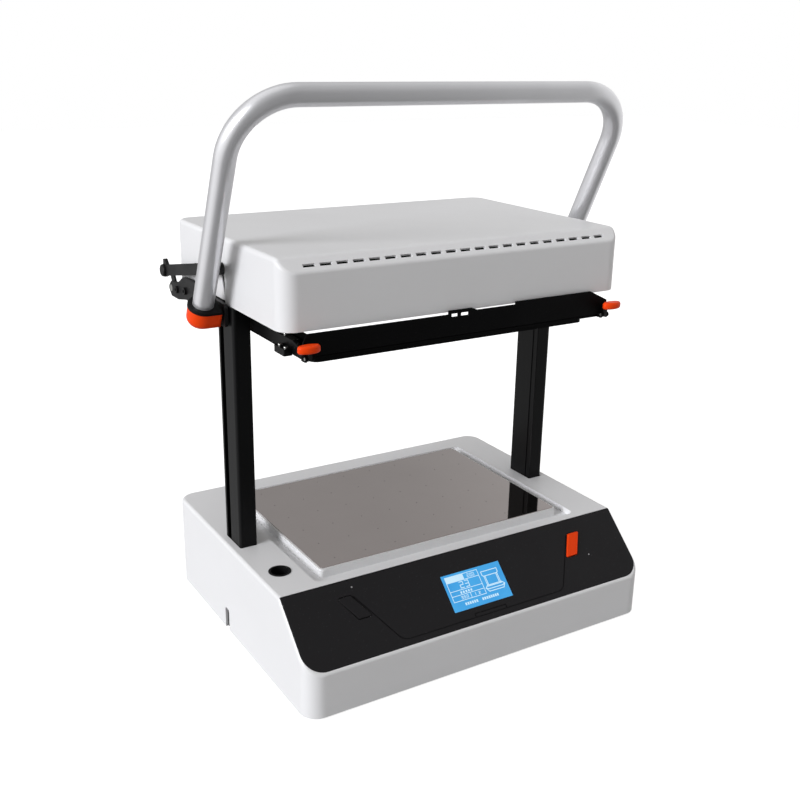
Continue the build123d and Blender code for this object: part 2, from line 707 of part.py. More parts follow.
def make_control_board():
    x, y = -(COLUMN_INNER - CONTROL_SIDE), CONTROL_FRONT
    top = FLOOR_Z + BOARD_POST + BOARD_SHEET
    board = board_plate(x, y, CONTROL_WIDTH, CONTROL_DEEP)
    board += box(x + 30, x + 55, y + 25, y + 50, top, top + 3.4)
    return board + box(x + 70, x + 82, y + 10, y + 60, top, top + 10.4)


def make_power_board():
    x, y = -(COLUMN_INNER - POWER_SIDE), POWER_FRONT
    top = FLOOR_Z + BOARD_POST + BOARD_SHEET
    board = board_plate(x, y, POWER_WIDTH, POWER_DEEP)
    board += box(x + 10, x + 20, y + 15, y + 75, top, top + 30.4)
    board += box(x + 35, x + 65, y + 20, y + 55, top, top + 26.4)
    for i in range(3):
        board += rod((x + 85, y + 20 + 22 * i, top), 9, 30)
    return board


def make_power_inlet():
    inlet = slab(-25, 25, -11.5, 11.5, 0, 2, 5.0) + box(-13.8, 13.8, -10, 10, -26, 0)
    well = box(-12, 12, -8, 8, -16, 3)
    for x in (-12, 12):
        well -= Pos(x, 8, -6) * Rot(0, 0, 45) * Box(5, 5, 24)
    inlet -= well
    for x, y in ((-7, 2), (0, -2), (7, 2)):
        inlet += Pos(x, y, -9.5) * Box(2, 4, 14)
    return Pos(INLET_X, BACK, INLET_Z) * Rot(-90, 0, 0) * Rot(0, 0, 180) * inlet


def make_switch_frame():
    outer = slab(-12, 12, -9.5, 9.5, 0, 2, 2.0) + box(-9.8, 9.8, -6.8, 6.8, -18, 0)
    outer -= box(-8.2, 8.2, -5.2, 5.2, -15, 3) + rod((-9.2, 0, -3.0), 1.2 + RUNNING, 18.4, "X")
    return Pos(SWITCH_X, BACK, INLET_Z) * Rot(-90, 0, 0) * outer


def make_power_rocker():
    """A see-saw key: its upper half stands out while it is off."""
    points = [(-6.0, -3.9), (2.6, -3.8), (0.9, 0.2), (3.0, 3.8), (-6.0, 3.9)]
    key = side_plate(points, -7.9, 15.8)
    key += rod((-9.1, -3.0, 0), 1.2, 18.2, "X")
    return Pos(SWITCH_X, BACK, INLET_Z) * key


def column_section():
    section = Pos((COLUMN_INNER + COLUMN_OUTER) / 2, (COLUMN_FRONT + COLUMN_BACK) / 2) * Rectangle(
        COLUMN_OUTER - COLUMN_INNER, COLUMN_BACK - COLUMN_FRONT)
    corners = section.vertices().sort_by(lambda v: v.Y - v.X)
    section = fillet(corners[1:], 1.0)
    front = section.vertices().sort_by(lambda v: v.Y - v.X)[0]
    section = fillet(front, COLUMN_ROUND)
    mouth = Pos(COLUMN_OUTER, SLOT_MID) * Rectangle(2 * SLOT_LIP, SLOT_MOUTH)
    cavity = Pos(COLUMN_OUTER - SLOT_LIP - (SLOT_DEPTH - SLOT_LIP) / 2, SLOT_MID) * Rectangle(
        SLOT_DEPTH - SLOT_LIP, SLOT_WIDTH)
    front_end = COLUMN_FRONT + COLUMN_WALL
    chamber_back = SLOT_MID - SLOT_WIDTH / 2 - COLUMN_WALL
    chamber = Pos((COLUMN_INNER + COLUMN_OUTER) / 2, (front_end + chamber_back) / 2) * RectangleRounded(
        COLUMN_OUTER - COLUMN_INNER - 2 * COLUMN_WALL - 2.0, chamber_back - front_end, 1.5)
    back_chamber = RectangleRounded(4.0, SLOT_WIDTH - 2, 1.0)
    back_chamber = Pos(COLUMN_INNER + COLUMN_WALL + 2.2, SLOT_MID) * back_chamber
    groove = Pos(COLUMN_INNER, COLUMN_FRONT + 5.5) * Rectangle(1.6, 7.0)
    return section - mouth - cavity - chamber - back_chamber - groove


def make_column():
    length = HEAD_BOTTOM - COLUMN_FOOT
    return extrude(Pos(0, 0, COLUMN_FOOT) * column_section(), length)


def make_column_bracket():
    """A socket block on the bottom plate that holds the column's foot."""
    front, back = COLUMN_FRONT - 12, COLUMN_BACK + 12
    block = slab(COLUMN_INNER - 10, HALF - BASE_WALL - 1, front, back, FLOOR_Z, 26, 2.0)
    return block - slab(COLUMN_INNER, COLUMN_OUTER, COLUMN_FRONT, COLUMN_BACK, COLUMN_FOOT, 30, 1.0)


def arch(width, height, x0, x1, y_mid):
    """A round-topped block low in the head's side wall."""
    half = width / 2
    spring = HEAD_BOTTOM + height - half * 1.25
    top = HEAD_BOTTOM + height
    outline = Polyline((y_mid - half, spring), (y_mid - half, HEAD_BOTTOM - EPS),
                       (y_mid + half, HEAD_BOTTOM - EPS), (y_mid + half, spring))
    crown = ThreePointArc((y_mid + half, spring), (y_mid, top), (y_mid - half, spring))
    face = make_face(outline + crown)
    return extrude(Plane(origin=(x0, 0, 0), x_dir=(0, 1, 0), z_dir=(1, 0, 0)) * face, x1 - x0)


def make_head_shell():
    shell = head_block(0, HEAD_BOTTOM, HEAD_RIM) - head_block(HEAD_WALL, HEAD_BOTTOM - EPS)
    half = HEAD_WIDTH / 2
    opening = arch(ARCH_WIDTH, ARCH_HEIGHT, half - 2 * HEAD_WALL, half + EPS, ARCH_Y)
    shell -= opening + mirrored(opening)
    slots = []
    for i in range(VENT_COUNT):
        x = VENT_X + (i - (VENT_COUNT - 1) / 2) * VENT_PITCH
        slots.append(facet_plane() * Pos(x, -VENT_DROP, 0) * Box(VENT_LENGTH, VENT_WIDTH, 6 * HEAD_WALL))
    return shell - slots


def facet_plane():
    """The head's front facet: X to the right and Y up the facet, from its top edge."""
    lean = math.radians(FACET_ANGLE)
    origin = (0, HEAD_FRONT + FACET_RUN, HEAD_TOP)
    return Plane(origin=origin, x_dir=(1, 0, 0), z_dir=(0, -math.sin(lean), math.cos(lean)))


def make_vent_baffle():
    """A dark strip behind the vent slots that keeps dust off the heaters."""
    strip = Box(2 * BAFFLE_HALF, VENT_WIDTH + 6.0, 1.0)
    return facet_plane() * Pos(0, -VENT_DROP, -HEAD_WALL - 0.5) * strip


def make_arch_cover():
    """The inner cover seen through the arched opening, leaning away from its front edge."""
    wall = HEAD_WIDTH / 2 - HEAD_WALL
    low = HEAD_BOTTOM + CHASSIS_THICK
    front, back = ARCH_Y - ARCH_WIDTH / 2, ARCH_Y + ARCH_WIDTH / 2
    outline = [(front + COVER_FOOT, low), (front + COVER_GAP, low + 23), (front + 2 * COVER_GAP, low + 33),
               (back, low + 33), (back, low)]
    cover = side_plate(outline, wall, 1.6)
    cover &= arch(ARCH_WIDTH - 0.8, ARCH_HEIGHT - 0.4, wall - 1, wall + 5, ARCH_Y)
    rim = cover.faces().sort_by(Axis.X)[-1].edges()
    return fillet(rim.filter_by(lambda e: (e @ 0.5).Z > low + 1), 1.0)


def make_arch_liner():
    """The dark plate behind the arched opening, standing on the steel frame."""
    wall = HEAD_WIDTH / 2 - HEAD_WALL
    low = HEAD_BOTTOM + CHASSIS_THICK
    near = ARCH_WIDTH / 2 + 0.3
    far = near + 4
    step, top = low + 11.5, low + ARCH_HEIGHT
    outline = [(-near, low), (-near, step), (-far, step), (-far, top), (far, top), (far, step),
               (near, step), (near, low)]
    return side_plate([(ARCH_Y + y, z) for y, z in outline], wall - LINER_THICK, LINER_THICK)


def make_chassis():
    """The steel frame on the column tops that carries the head."""
    gap = HEAD_WALL + 0.3
    half = HEAD_WIDTH / 2 - gap
    outer = (-half, half, HEAD_FRONT + gap, HEAD_BACK - gap)
    rx, ry = REFLECTOR_WIDTH / 2, REFLECTOR_DEPTH / 2
    inner = (-rx, rx, PLATEN_MID_Y - ry, PLATEN_MID_Y + ry)
    plate = ring(outer, inner, HEAD_BOTTOM, HEAD_BOTTOM + CHASSIS_THICK, HEAD_CORNER - gap, 4.0)
    lip = (outer[0] + 2, outer[1] - 2, outer[2] + 2, outer[3] - 2)
    radius = HEAD_CORNER - gap
    plate += ring(outer, lip, HEAD_BOTTOM + CHASSIS_THICK, HEAD_BOTTOM + 14, radius, radius - 2)
    opening = arch(ARCH_WIDTH + 1, ARCH_HEIGHT, half - 6, half + 10, ARCH_Y)
    opening = opening & box(0, HALF, -200, 200, HEAD_BOTTOM + CHASSIS_THICK, HEAD_TOP)
    return plate - opening - mirrored(opening)


def make_reflector():
    rx, ry = REFLECTOR_WIDTH / 2, REFLECTOR_DEPTH / 2
    low, high = HEAD_BOTTOM + CHASSIS_THICK, HEAD_BOTTOM + CHASSIS_THICK + REFLECTOR_HEIGHT
    outer = slab(-rx, rx, PLATEN_MID_Y - ry, PLATEN_MID_Y + ry, low, high, 4.0)
    w = REFLECTOR_WALL
    inside = slab(-rx + w, rx - w, PLATEN_MID_Y - ry + w, PLATEN_MID_Y + ry - w, low - EPS, high - w, 4.0)
    flange = ring((-rx - 8, rx + 8, PLATEN_MID_Y - ry - 8, PLATEN_MID_Y + ry + 8),
                  (-rx + w, rx - w, PLATEN_MID_Y - ry + w, PLATEN_MID_Y + ry - w), low, low + w, 4.0, 3.0)
    return (outer - inside) + flange


def heater_rows():
    step = (REFLECTOR_DEPTH - 40) / (HEATER_COUNT - 1)
    return [PLATEN_MID_Y + (i - (HEATER_COUNT - 1) / 2) * step for i in range(HEATER_COUNT)]


def heater_height():
    return HEAD_BOTTOM + CHASSIS_THICK + 16.0


def make_heaters():
    length = REFLECTOR_WIDTH - 2 * REFLECTOR_WALL - 24
    tube = rod((-length / 2, 0, heater_height()), HEATER_RADIUS, length, "X")
    return Compound([Pos(0, y, 0) * tube for y in heater_rows()])


def make_heater_holders():
    """White ceramic blocks that carry the tubes' ends on the reflector's walls."""
    parts = []
    wall = REFLECTOR_WIDTH / 2 - REFLECTOR_WALL
    for side in (-1, 1):
        x0, x1 = sorted((side * (wall - 12), side * wall))
        for y in heater_rows():
            z = heater_height()
            parts.append(box(x0, x1, y - 9, y + 9, z - 8, z + 8))
    return Compound(parts)


def make_guard():
    """A wire grid under the heaters, resting on the chassis."""
    rx, ry = REFLECTOR_WIDTH / 2, REFLECTOR_DEPTH / 2
    z = HEAD_BOTTOM + 1.3
    wires = []
    count = int((REFLECTOR_WIDTH - 20) // (2 * GUARD_PITCH))
    for i in range(-count, count + 1):
        x = i * GUARD_PITCH
        wires.append(box(x - 0.8, x + 0.8, PLATEN_MID_Y - ry, PLATEN_MID_Y + ry, z, z + 1.4))
    frame = ring((-rx, rx, PLATEN_MID_Y - ry, PLATEN_MID_Y + ry),
                 (-rx + 3, rx - 3, PLATEN_MID_Y - ry + 3, PLATEN_MID_Y + ry - 3), z, z + 1.4, 4.0, 2.0)
    return frame + wires


def make_blanket():
    rx, ry = REFLECTOR_WIDTH / 2, REFLECTOR_DEPTH / 2
    low = HEAD_BOTTOM + CHASSIS_THICK + REFLECTOR_HEIGHT
    return slab(-rx + 2, rx - 2, PLATEN_MID_Y - ry + 2, PLATEN_MID_Y + ry - 2, low, low + 14, 10.0)


def window():
    return (-WINDOW_HALF, WINDOW_HALF, WINDOW_FRONT, WINDOW_BACK)


def make_lower_frame():
    """A folded sheet frame: level flange, skirt round the plinth and ears for the latches."""
    low = LOWER_TOP - FRAME_SHEET
    frame = ring((-FRAME_HALF, FRAME_HALF, FRAME_FRONT, FRAME_BACK), window(), low, LOWER_TOP, 4.0, 4.0)
    out = SKIRT_OUT
    skirt = (-WINDOW_HALF - out, WINDOW_HALF + out, WINDOW_FRONT - out + 2, WINDOW_BACK + out - 6)
    inner = (skirt[0] + 2, skirt[1] - 2, skirt[2] + 2, skirt[3] - 2)
    frame += ring(skirt, inner, low - SKIRT_DROP, low, 9.0, 7.0)
    y, z = LATCH_PIVOT
    for side in (1, -1):
        ears = box(LATCH_X - 8.6, LATCH_X + 1.0, y, FRAME_FRONT + 1, low, LOWER_TOP)
        ears -= box(LATCH_X - 6.0, LATCH_X - 1.6, y - 1, y + 3.4, low - EPS, LOWER_TOP + EPS)
        for x in (LATCH_X - 8.6, LATCH_X - 1.6):
            ears += rod((x, y, z), LATCH_EYE, 2.6, "X")
            ears += box(x, x + 2.6, y, FRAME_FRONT + 1, low, LOWER_TOP + 1)
        ears -= rod((LATCH_X - 20, y, z), 1.5, 40, "X")
        frame += ears if side > 0 else mirrored(ears)
    return frame


def make_upper_frame():
    """The upper clamp: level flange, low side walls and a tall front bar with a tab."""
    low = UPPER_BOTTOM
    top = low + FRAME_SHEET
    frame = ring((-UPPER_HALF, UPPER_HALF, UPPER_FRONT, UPPER_BACK), window(), low, top, 4.0, 4.0)
    outer = (-UPPER_HALF, UPPER_HALF, UPPER_FRONT + 6, UPPER_BACK)
    inner = (-UPPER_HALF + 2, UPPER_HALF - 2, UPPER_FRONT - 20, UPPER_BACK - 2)
    frame += ring(outer, inner, top, low + UPPER_WALL, 4.0, 2.0)
    points = [
        (-BAR_HALF, low), (BAR_HALF, low), (BAR_HALF, low + 15.3), (BAR_HALF - BAR_BEVEL, BAR_TOP + 4.4),
        (61, BAR_TOP + 4.4), (61, BAR_TOP + 1.2), (12, BAR_TOP + 1.2), (5, BAR_TOP + 4.0),
        (-24, BAR_TOP + 4.0), (-24, BAR_TOP), (-BAR_HALF + 4, BAR_TOP), (-BAR_HALF, BAR_TOP - 8),
    ]
    face = make_face(Polyline(*points, close=True))
    plane = Plane(origin=(0, UPPER_FRONT + 2, 0), x_dir=(1, 0, 0), z_dir=(0, -1, 0))
    bar = extrude(plane * face, 2)
    for x0, x1 in ((-20.7, -12.5), (-9.0, 0.8)):
        bar -= box(x0, x1, UPPER_FRONT - 1, UPPER_FRONT + 3, BAR_TOP - 3, BAR_TOP + 0.6)
    frame += bar
    for side in (1, -1):
        x0, x1 = sorted((side * (LATCH_X - 5.4), side * (LATCH_X - 2.2)))
        frame += box(x0, x1, LATCH_PIVOT[0], UPPER_FRONT, low + 4.0, low + 5.6)
    return frame + make_rear_arms()


def make_rear_arms():
    """Arms that carry the upper clamp's back edge on the hinge shaft."""
    arms = []
    y, z = HINGE_SHAFT
    for x in (-128, -6, 116):
        points = [(UPPER_BACK - 8, UPPER_BOTTOM + FRAME_SHEET), (UPPER_BACK + 4, UPPER_BOTTOM),
                  (y + 3, z - 6), (y - 4, z + 6), (UPPER_BACK - 1, UPPER_BOTTOM + UPPER_WALL)]
        arm = side_plate(points, x, 12.0) + rod((x, y, z), 7.0, 12.0, "X")
        arms.append(arm - rod((x - 1, y, z), SHAFT_RADIUS + RUNNING, 14.0, "X"))
    return arms


def make_gasket(low):
    outer = (-WINDOW_HALF - GASKET_WIDTH, WINDOW_HALF + GASKET_WIDTH, WINDOW_FRONT - GASKET_WIDTH,
             WINDOW_BACK + GASKET_WIDTH - 6)
    inner = (-WINDOW_HALF - 0.4, WINDOW_HALF + 0.4, WINDOW_FRONT - 0.4, WINDOW_BACK + 0.4)
    return ring(outer, inner, low, low + GASKET_THICK, 5.0, 4.0)


def make_side_rail():
    """The rail on the lower frame's edge, with the corner block at its front end."""
    start, top = FRAME_FRONT + 24, LOWER_TOP + RAIL_HEIGHT
    low, high = RAIL_INNER + 2.5, FRAME_HALF - 2.5
    rail = box(RAIL_INNER, FRAME_HALF, start, FRAME_BACK - 2, LOWER_TOP, top)
    rail -= box(low, high, start + 34, BRIDGE_FRONT - 5, LOWER_TOP + 3, top + EPS)
    rail -= box(low, high, BRIDGE_BACK + 5, FRAME_BACK - 12, LOWER_TOP + 3, top + EPS)
    block = slab(FRAME_HALF - 8, FRAME_HALF + 9, start, start + 23, LOWER_TOP - 3, LOWER_TOP + 4, 1.5)
    block -= box(0, FRAME_HALF + 0.2, -BASE_DEPTH, BASE_DEPTH, 0, LOWER_TOP)
    slope = [(start, top), (start - 11, top - 2), (start - 20, LOWER_TOP + 6), (start - 20, LOWER_TOP),
             (start, LOWER_TOP)]
    return rail + block + side_plate(slope, FRAME_HALF - 4, 4.0)


def carriage_outline():
    """The side plate's outline: a block behind the column and a lug for the hinge shaft."""
    y, z = HINGE_SHAFT
    front, back = COLUMN_FRONT + 7, BRIDGE_BACK - 1
    return [
        (front, z - 10), (back, z - 10), (back + 20, z - 8), (y - 48, z - 4), (y - 22, z - 9), (y, z - 9),
        (y + 9, z), (y, z + 8), (y - 22, z + 10), (y - 40, z + 20), (y - 64, z + 21), (back, z + 16),
        (front, z + 14),
    ]


def make_carriage():
    plate = side_plate(carriage_outline(), PLATE_INNER, PLATE_THICK, 4.0)
    y, z = HINGE_SHAFT
    plate += box(RAIL_INNER, PLATE_INNER, BRIDGE_FRONT, BRIDGE_BACK, LOWER_TOP + RAIL_HEIGHT, BRIDGE_TOP)
    plate += box(FRAME_HALF + 2, PLATE_INNER, BRIDGE_FRONT, BRIDGE_BACK, LOWER_TOP + 3, BRIDGE_TOP)
    plate -= rod((PLATE_INNER - 1, y, z), SHAFT_RADIUS + RUNNING, 10, "X")
    plate -= rod((PLATE_INNER - 1, PIVOT.Y, PIVOT.Z), PIN_RADIUS + RUNNING, 10, "X")
    return plate


def make_shoe():
    """The sliding shoe that runs in the column's slot."""
    low, high = LOWER_TOP + 5, HEAD_BOTTOM - 1
    lip = COLUMN_OUTER - SLOT_LIP
    half = SLOT_WIDTH / 2 - SHOE_GAP
    inner = COLUMN_OUTER - SLOT_DEPTH + SHOE_GAP
    head = box(inner, lip - SHOE_GAP, SLOT_MID - half, SLOT_MID + half, low, high)
    neck = SLOT_MOUTH / 2 - SHOE_GAP
    return head + box(lip - SHOE_GAP - 0.01, PLATE_INNER, SLOT_MID - neck, SLOT_MID + neck, low, high)


def make_hinge_shaft():
    """The cross shaft behind the frames, with a rocker lever at each end."""
    y, z = HINGE_SHAFT
    end = PLATE_INNER + PLATE_THICK + 0.2
    shaft = rod((-end, y, z), SHAFT_RADIUS, 2 * end, "X")
    return shaft


def make_rocker():
    y, z = HINGE_SHAFT
    pin_y, pin_z = REAR_PIN
    x0 = PLATE_INNER - 0.4 - ROCKER_THICK
    lever = rod((x0, y, z), 8.0, ROCKER_THICK, "X") + rod((x0, pin_y, pin_z), 6.0, ROCKER_THICK, "X")
    angle = math.degrees(math.atan2(pin_z - z, pin_y - y))
    length = math.hypot(pin_z - z, pin_y - y)
    middle = Pos(x0 + ROCKER_THICK / 2, (y + pin_y) / 2, (z + pin_z) / 2)
    lever += middle * Rot(angle, 0, 0) * Box(ROCKER_THICK, length, 11)
    lever -= rod((x0 - 1, y, z), SHAFT_RADIUS, 8, "X")
    return lever - rod((x0 - 1, pin_y, pin_z), LINK_PIN, 8, "X")


def make_rear_pin():
    """The pin that joins a rocker to its link, with a domed head outside."""
    y, z = REAR_PIN
    x0 = PLATE_INNER - 0.4 - ROCKER_THICK
    outer = LINK_INNER + LINK_THICK + 0.3
    head = fillet(rod((outer, y, z), 7.0, 3.0, "X").edges().sort_by(Axis.X)[-1], 2.0)
    return rod((x0, y, z), LINK_PIN, outer - x0, "X") + head


def make_link():
    """The flat link from the handle's leg to the rocker, with a tab over its rear eye."""
    y0, z0 = LINK_FRONT.Y, LINK_FRONT.Z
    y1, z1 = REAR_PIN
    angle = math.degrees(math.atan2(z1 - z0, y1 - y0))
    length = math.hypot(y1 - y0, z1 - z0)
    half = LINK_WIDTH / 2
    bar = Pos(LINK_INNER + LINK_THICK / 2, (y0 + y1) / 2, (z0 + z1) / 2) * Rot(angle, 0, 0) * Box(
        LINK_THICK, length, LINK_WIDTH)
    bar += rod((LINK_INNER, y0, z0), half, LINK_THICK, "X")
    bar += rod((LINK_INNER, y1, z1), half + 1.2, LINK_THICK, "X")
    tab = [(y1 - 12, z1 + 6), (y1 - 3.5, z1 + 14), (y1 + 1.5, z1 + 13), (y1 + 2, z1 + 5)]
    bar += side_plate(tab, LINK_INNER, LINK_THICK)
    bar -= rod((LINK_INNER - 1, y0, z0), LINK_PIN + RUNNING, 9, "X")
    return bar - rod((LINK_INNER - 1, y1, z1), LINK_PIN + LINK_SLACK, 9, "X")


def leg_plane(side, lift):
    """A plane square to the leg, lift above the tube's end."""
    spot = LEG_END + Vector(*UP) * lift
    return Plane(origin=(side * HANDLE_X, spot.Y, spot.Z), x_dir=(1, 0, 0), z_dir=UP)


def make_handle_tube():
    foot = -PIVOT_DROP + PIN_RADIUS + 1.0
    plane = Plane(origin=(0, LEG_END.Y, LEG_END.Z), x_dir=(1, 0, 0), z_dir=(0, -UP[2], UP[1]))
    path = FilletPolyline(
        (-HANDLE_X, foot), (-HANDLE_X, HANDLE_LENGTH), (HANDLE_X, HANDLE_LENGTH), (HANDLE_X, foot),
        radius=HANDLE_BEND,
    )
    path = plane * path
    section = Circle(HANDLE_RADIUS) - Circle(HANDLE_RADIUS - HANDLE_WALL)
    start = Plane(origin=path @ 0, z_dir=path % 0)
    tube = sweep(start * section, path=path)
    hole = rod((LINK_INNER, LINK_FRONT.Y, LINK_FRONT.Z), LINK_PIN, HANDLE_X - LINK_INNER, "X")
    return tube - hole - mirrored(hole)


def cap_outline(grow):
    """Round outside and flat towards the column, with its rear corner eased for the link."""
    inner = CAP_INNER - HANDLE_X
    radius = CAP_RADIUS + grow
    face = Circle(radius) + Pos(inner / 2, 0) * Rectangle(-inner, 2 * radius)
    front, rear = face.vertices().sort_by(Axis.X)[:2].sort_by(Axis.Y)
    face = fillet(rear, CAP_EASE)
    return fillet(face.vertices().sort_by(lambda v: v.X + v.Y)[0], CAP_EDGE)


def make_cap():
    """The orange cap: a cup round the leg's end, deeply rounded below."""
    plane = leg_plane(1, -CAP_LENGTH)
    inner = CAP_INNER - HANDLE_X
    bowl = rod((0, 0, 0), CAP_RADIUS, CAP_LENGTH)
    bowl = fillet(bowl.edges().sort_by(Axis.Z)[0], CAP_FOOT)
    trough = box(inner, 0, -CAP_RADIUS, CAP_RADIUS, 0, CAP_LENGTH)
    trough = fillet(trough.edges().filter_by(Axis.X).group_by(Axis.Z)[0], CAP_FOOT)
    cup = (bowl + trough) & extrude(cap_outline(0), CAP_LENGTH)
    foot = CAP_LENGTH - PIVOT_DROP + PIN_RADIUS + 1.0
    cup -= Pos(0, 0, foot) * Cylinder(HANDLE_RADIUS, 40, align=(Align.CENTER, Align.CENTER, Align.MIN))
    cup = plane * cup
    return cup - rod((PLATE_INNER, PIVOT.Y, PIVOT.Z), PIN_RADIUS, HANDLE_X + 6 - PLATE_INNER, "X")


def make_collar():
    """The black collar between the cap and the tube."""
    collar = extrude(cap_outline(0.5), COLLAR_HEIGHT)
    collar = fillet(collar.edges().filter_by(lambda e: (e @ 0.5).Z > COLLAR_HEIGHT - 0.01), 1.2)
    collar -= Cylinder(HANDLE_RADIUS, 40)
    return leg_plane(1, 0) * collar


def make_handle_pin():
    """The pivot pin from the cap into the side plate, with a shoulder between them."""
    start = PLATE_INNER + 0.2
    pin = rod((start, PIVOT.Y, PIVOT.Z), PIN_RADIUS, HANDLE_X + 6 - start, "X")
    shoulder = PLATE_INNER + PLATE_THICK + 0.3
    return pin + rod((shoulder, PIVOT.Y, PIVOT.Z), PIN_RADIUS + 1.6, CAP_INNER - shoulder, "X")


def make_link_pin():
    """The pin through the leg's inner wall that carries the link's front eye."""
    y, z = LINK_FRONT.Y, LINK_FRONT.Z
    start = LINK_INNER - 0.3
    head = rod((start, y, z), LINK_HEAD, 0.28, "X")
    return head + rod((start, y, z), LINK_PIN, HANDLE_X - 4.5 - start, "X")


def make_latch():
    """The latch lever: pivot eye, nose over the upper clamp's lip and a tongue for the thumb piece."""
    y, z = LATCH_PIVOT
    x0, x1 = LATCH_X - 5.6, LATCH_X - 2.0
    lever = rod((x0, y, z), LATCH_EYE, x1 - x0, "X")
    lip = UPPER_BOTTOM + 5.6
    points = [(y - LATCH_EYE, z), (y + 0.2, z + 1.5), (y - 0.3, lip + 0.5), (UPPER_FRONT - 0.8, lip + 0.5),
              (UPPER_FRONT - 1.4, THUMB_MID[1] + 0.5), (THUMB_MID[0] - 3, THUMB_MID[1] + 0.5),
              (THUMB_MID[0] - 3, THUMB_MID[1] - 1.5), (y - 3.4, THUMB_MID[1] - 1.8)]
    lever += side_plate(points, x0, x1 - x0)
    return lever - rod((x0 - 1, y, z), 1.5 + RUNNING, 10, "X")


def make_thumb():
    """The orange thumb piece, pushed over the lever's tongue."""
    y, z = THUMB_MID
    pad = extrude(Ellipse(THUMB_WIDTH / 2, THUMB_DEPTH / 2), THUMB_HEIGHT)
    pad = Pos(LATCH_X, y, z - THUMB_HEIGHT / 2) * pad
    edges = pad.edges().filter_by(lambda e: e.geom_type != GeomType.LINE)
    pad = fillet(edges, 2.8)
    return pad - make_latch_space()


def make_latch_space():
    y, z = THUMB_MID
    return box(LATCH_X - 5.6, LATCH_X - 2.0, y - 3, y + 30, z - 30, z + 0.5)


def make_latch_pin():
    y, z = LATCH_PIVOT
    return rod((LATCH_X - 9.0, y, z), 1.5, 10.4, "X")


def make_frame_screws():
    """Pan-head screws in the rails and corner blocks."""
    screws = []
    for side in (1, -1):
        outer, rail = FRAME_HALF + 4.5, FRAME_HALF - RAIL_WIDTH / 2
        low, high = LOWER_TOP + 4, LOWER_TOP + RAIL_HEIGHT
        start, end = FRAME_FRONT + 24, FRAME_BACK - 6
        for x, y, z in ((outer, start + 18, low), (outer, start + 5, low), (rail, start + 24, high),
                        (rail, end, high)):
            head = rod((side * x, y, z), 2.4, 1.6)
            screws.append(fillet(head.edges().sort_by(Axis.Z)[-1], 0.8))
    return Compound(screws)


def make_plate_bolts():
    """Cap screws on the side plates' outer faces."""
    bolts = []
    for side in (1, -1):
        back, middle = HINGE_SHAFT
        spots = ((back - 20, middle + 2), (back - 46, middle + 5.5), (BRIDGE_FRONT + 6, middle - 3))
        for y, z in spots:
            x = PLATE_INNER + PLATE_THICK
            head = rod((x, y, z), 4.2, 2.6, "X") - rod((x + 1.2, y, z), 2.0, 3, "X")
            bolts.append(head if side > 0 else mirrored(head))
    return Compound(bolts)


def both(shape):
    return Compound([shape, mirrored(shape)])


def build():
    """Every piece under its node's name."""
    nodes = {
        "base_shell": make_base_shell(),
        "bottom_plate": make_bottom_plate(),
        "rubber_feet": make_feet(),
        "control_panel": make_panel(),
        "panel_lights": make_lights(),
        "screen_glass": make_screen_glass(),
        "display_module": make_display_module(),
        "start_button": make_button(1, START_PROUD),
        "menu_button": make_button(-1, MENU_PROUD),
        "button_switches": make_button_switches(),
        "sensor_bezel": make_sensor_bezel(),
        "sensor_cup": make_sensor_cup(),
        "platen": make_platen(),
        "platen_seal": make_platen_seal(),
        "vacuum_chamber": make_chamber(),
        "inlet_seal": make_inlet_seal(),
        "motor_can": make_motor_can(),
        "motor_winding": make_motor_winding(),
        "suction_fan": make_fan(),
        "control_board": make_control_board(),
        "power_board": make_power_board(),
        "power_inlet": make_power_inlet(),
        "switch_frame": make_switch_frame(),
        "power_rocker": make_power_rocker(),
        "columns": both(make_column()),
        "column_brackets": both(make_column_bracket()),
        "head_shell": make_head_shell(),
        "vent_baffle": make_vent_baffle(),
        "arch_liners": both(make_arch_liner()),
        "arch_covers": both(make_arch_cover()),
        "head_chassis": make_chassis(),
        "heater_reflector": make_reflector(),
        "heater_tubes": make_heaters(),
        "heater_holders": make_heater_holders(),
        "heater_guard": make_guard(),
        "insulation_blanket": make_blanket(),
        "lower_frame": make_lower_frame(),
        "upper_frame": make_upper_frame(),
        "lower_gasket": make_gasket(LOWER_TOP),
        "upper_gasket": make_gasket(UPPER_BOTTOM - GASKET_THICK),
        "side_rails": both(make_side_rail()),
        "carriage_plates": both(make_carriage()),
        "slide_shoes": both(make_shoe()),
        "hinge_shaft": make_hinge_shaft(),
        "rocker_levers": both(make_rocker()),
        "rear_pins": both(make_rear_pin()),
        "links": both(make_link()),
        "handle_tube": make_handle_tube(),
        "handle_collars": both(make_collar()),
        "end_caps": both(make_cap()),
        "handle_pins": both(make_handle_pin()),
        "link_pins": both(make_link_pin()),
        "latch_pins": both(make_latch_pin()),
        "frame_screws": make_frame_screws(),
        "plate_bolts": make_plate_bolts(),
    }
    pairs = {
        "latch": make_latch(),
        "latch_thumb": make_thumb(),
    }
    for name, shape in pairs.items():
        nodes[name + "_right"] = shape
        nodes[name + "_left"] = mirrored(shape)
    return nodes


os.makedirs("parts", exist_ok=True)
for node, shape in build().items():
    export_step(shape, f"parts/{node}.step")
print("pieces written")
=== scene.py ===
import logging
import math
from dataclasses import dataclass
from enum import Enum
from typing import Callable, Protocol, Sequence

import bmesh
import bpy
from mathutils import Matrix, Vector


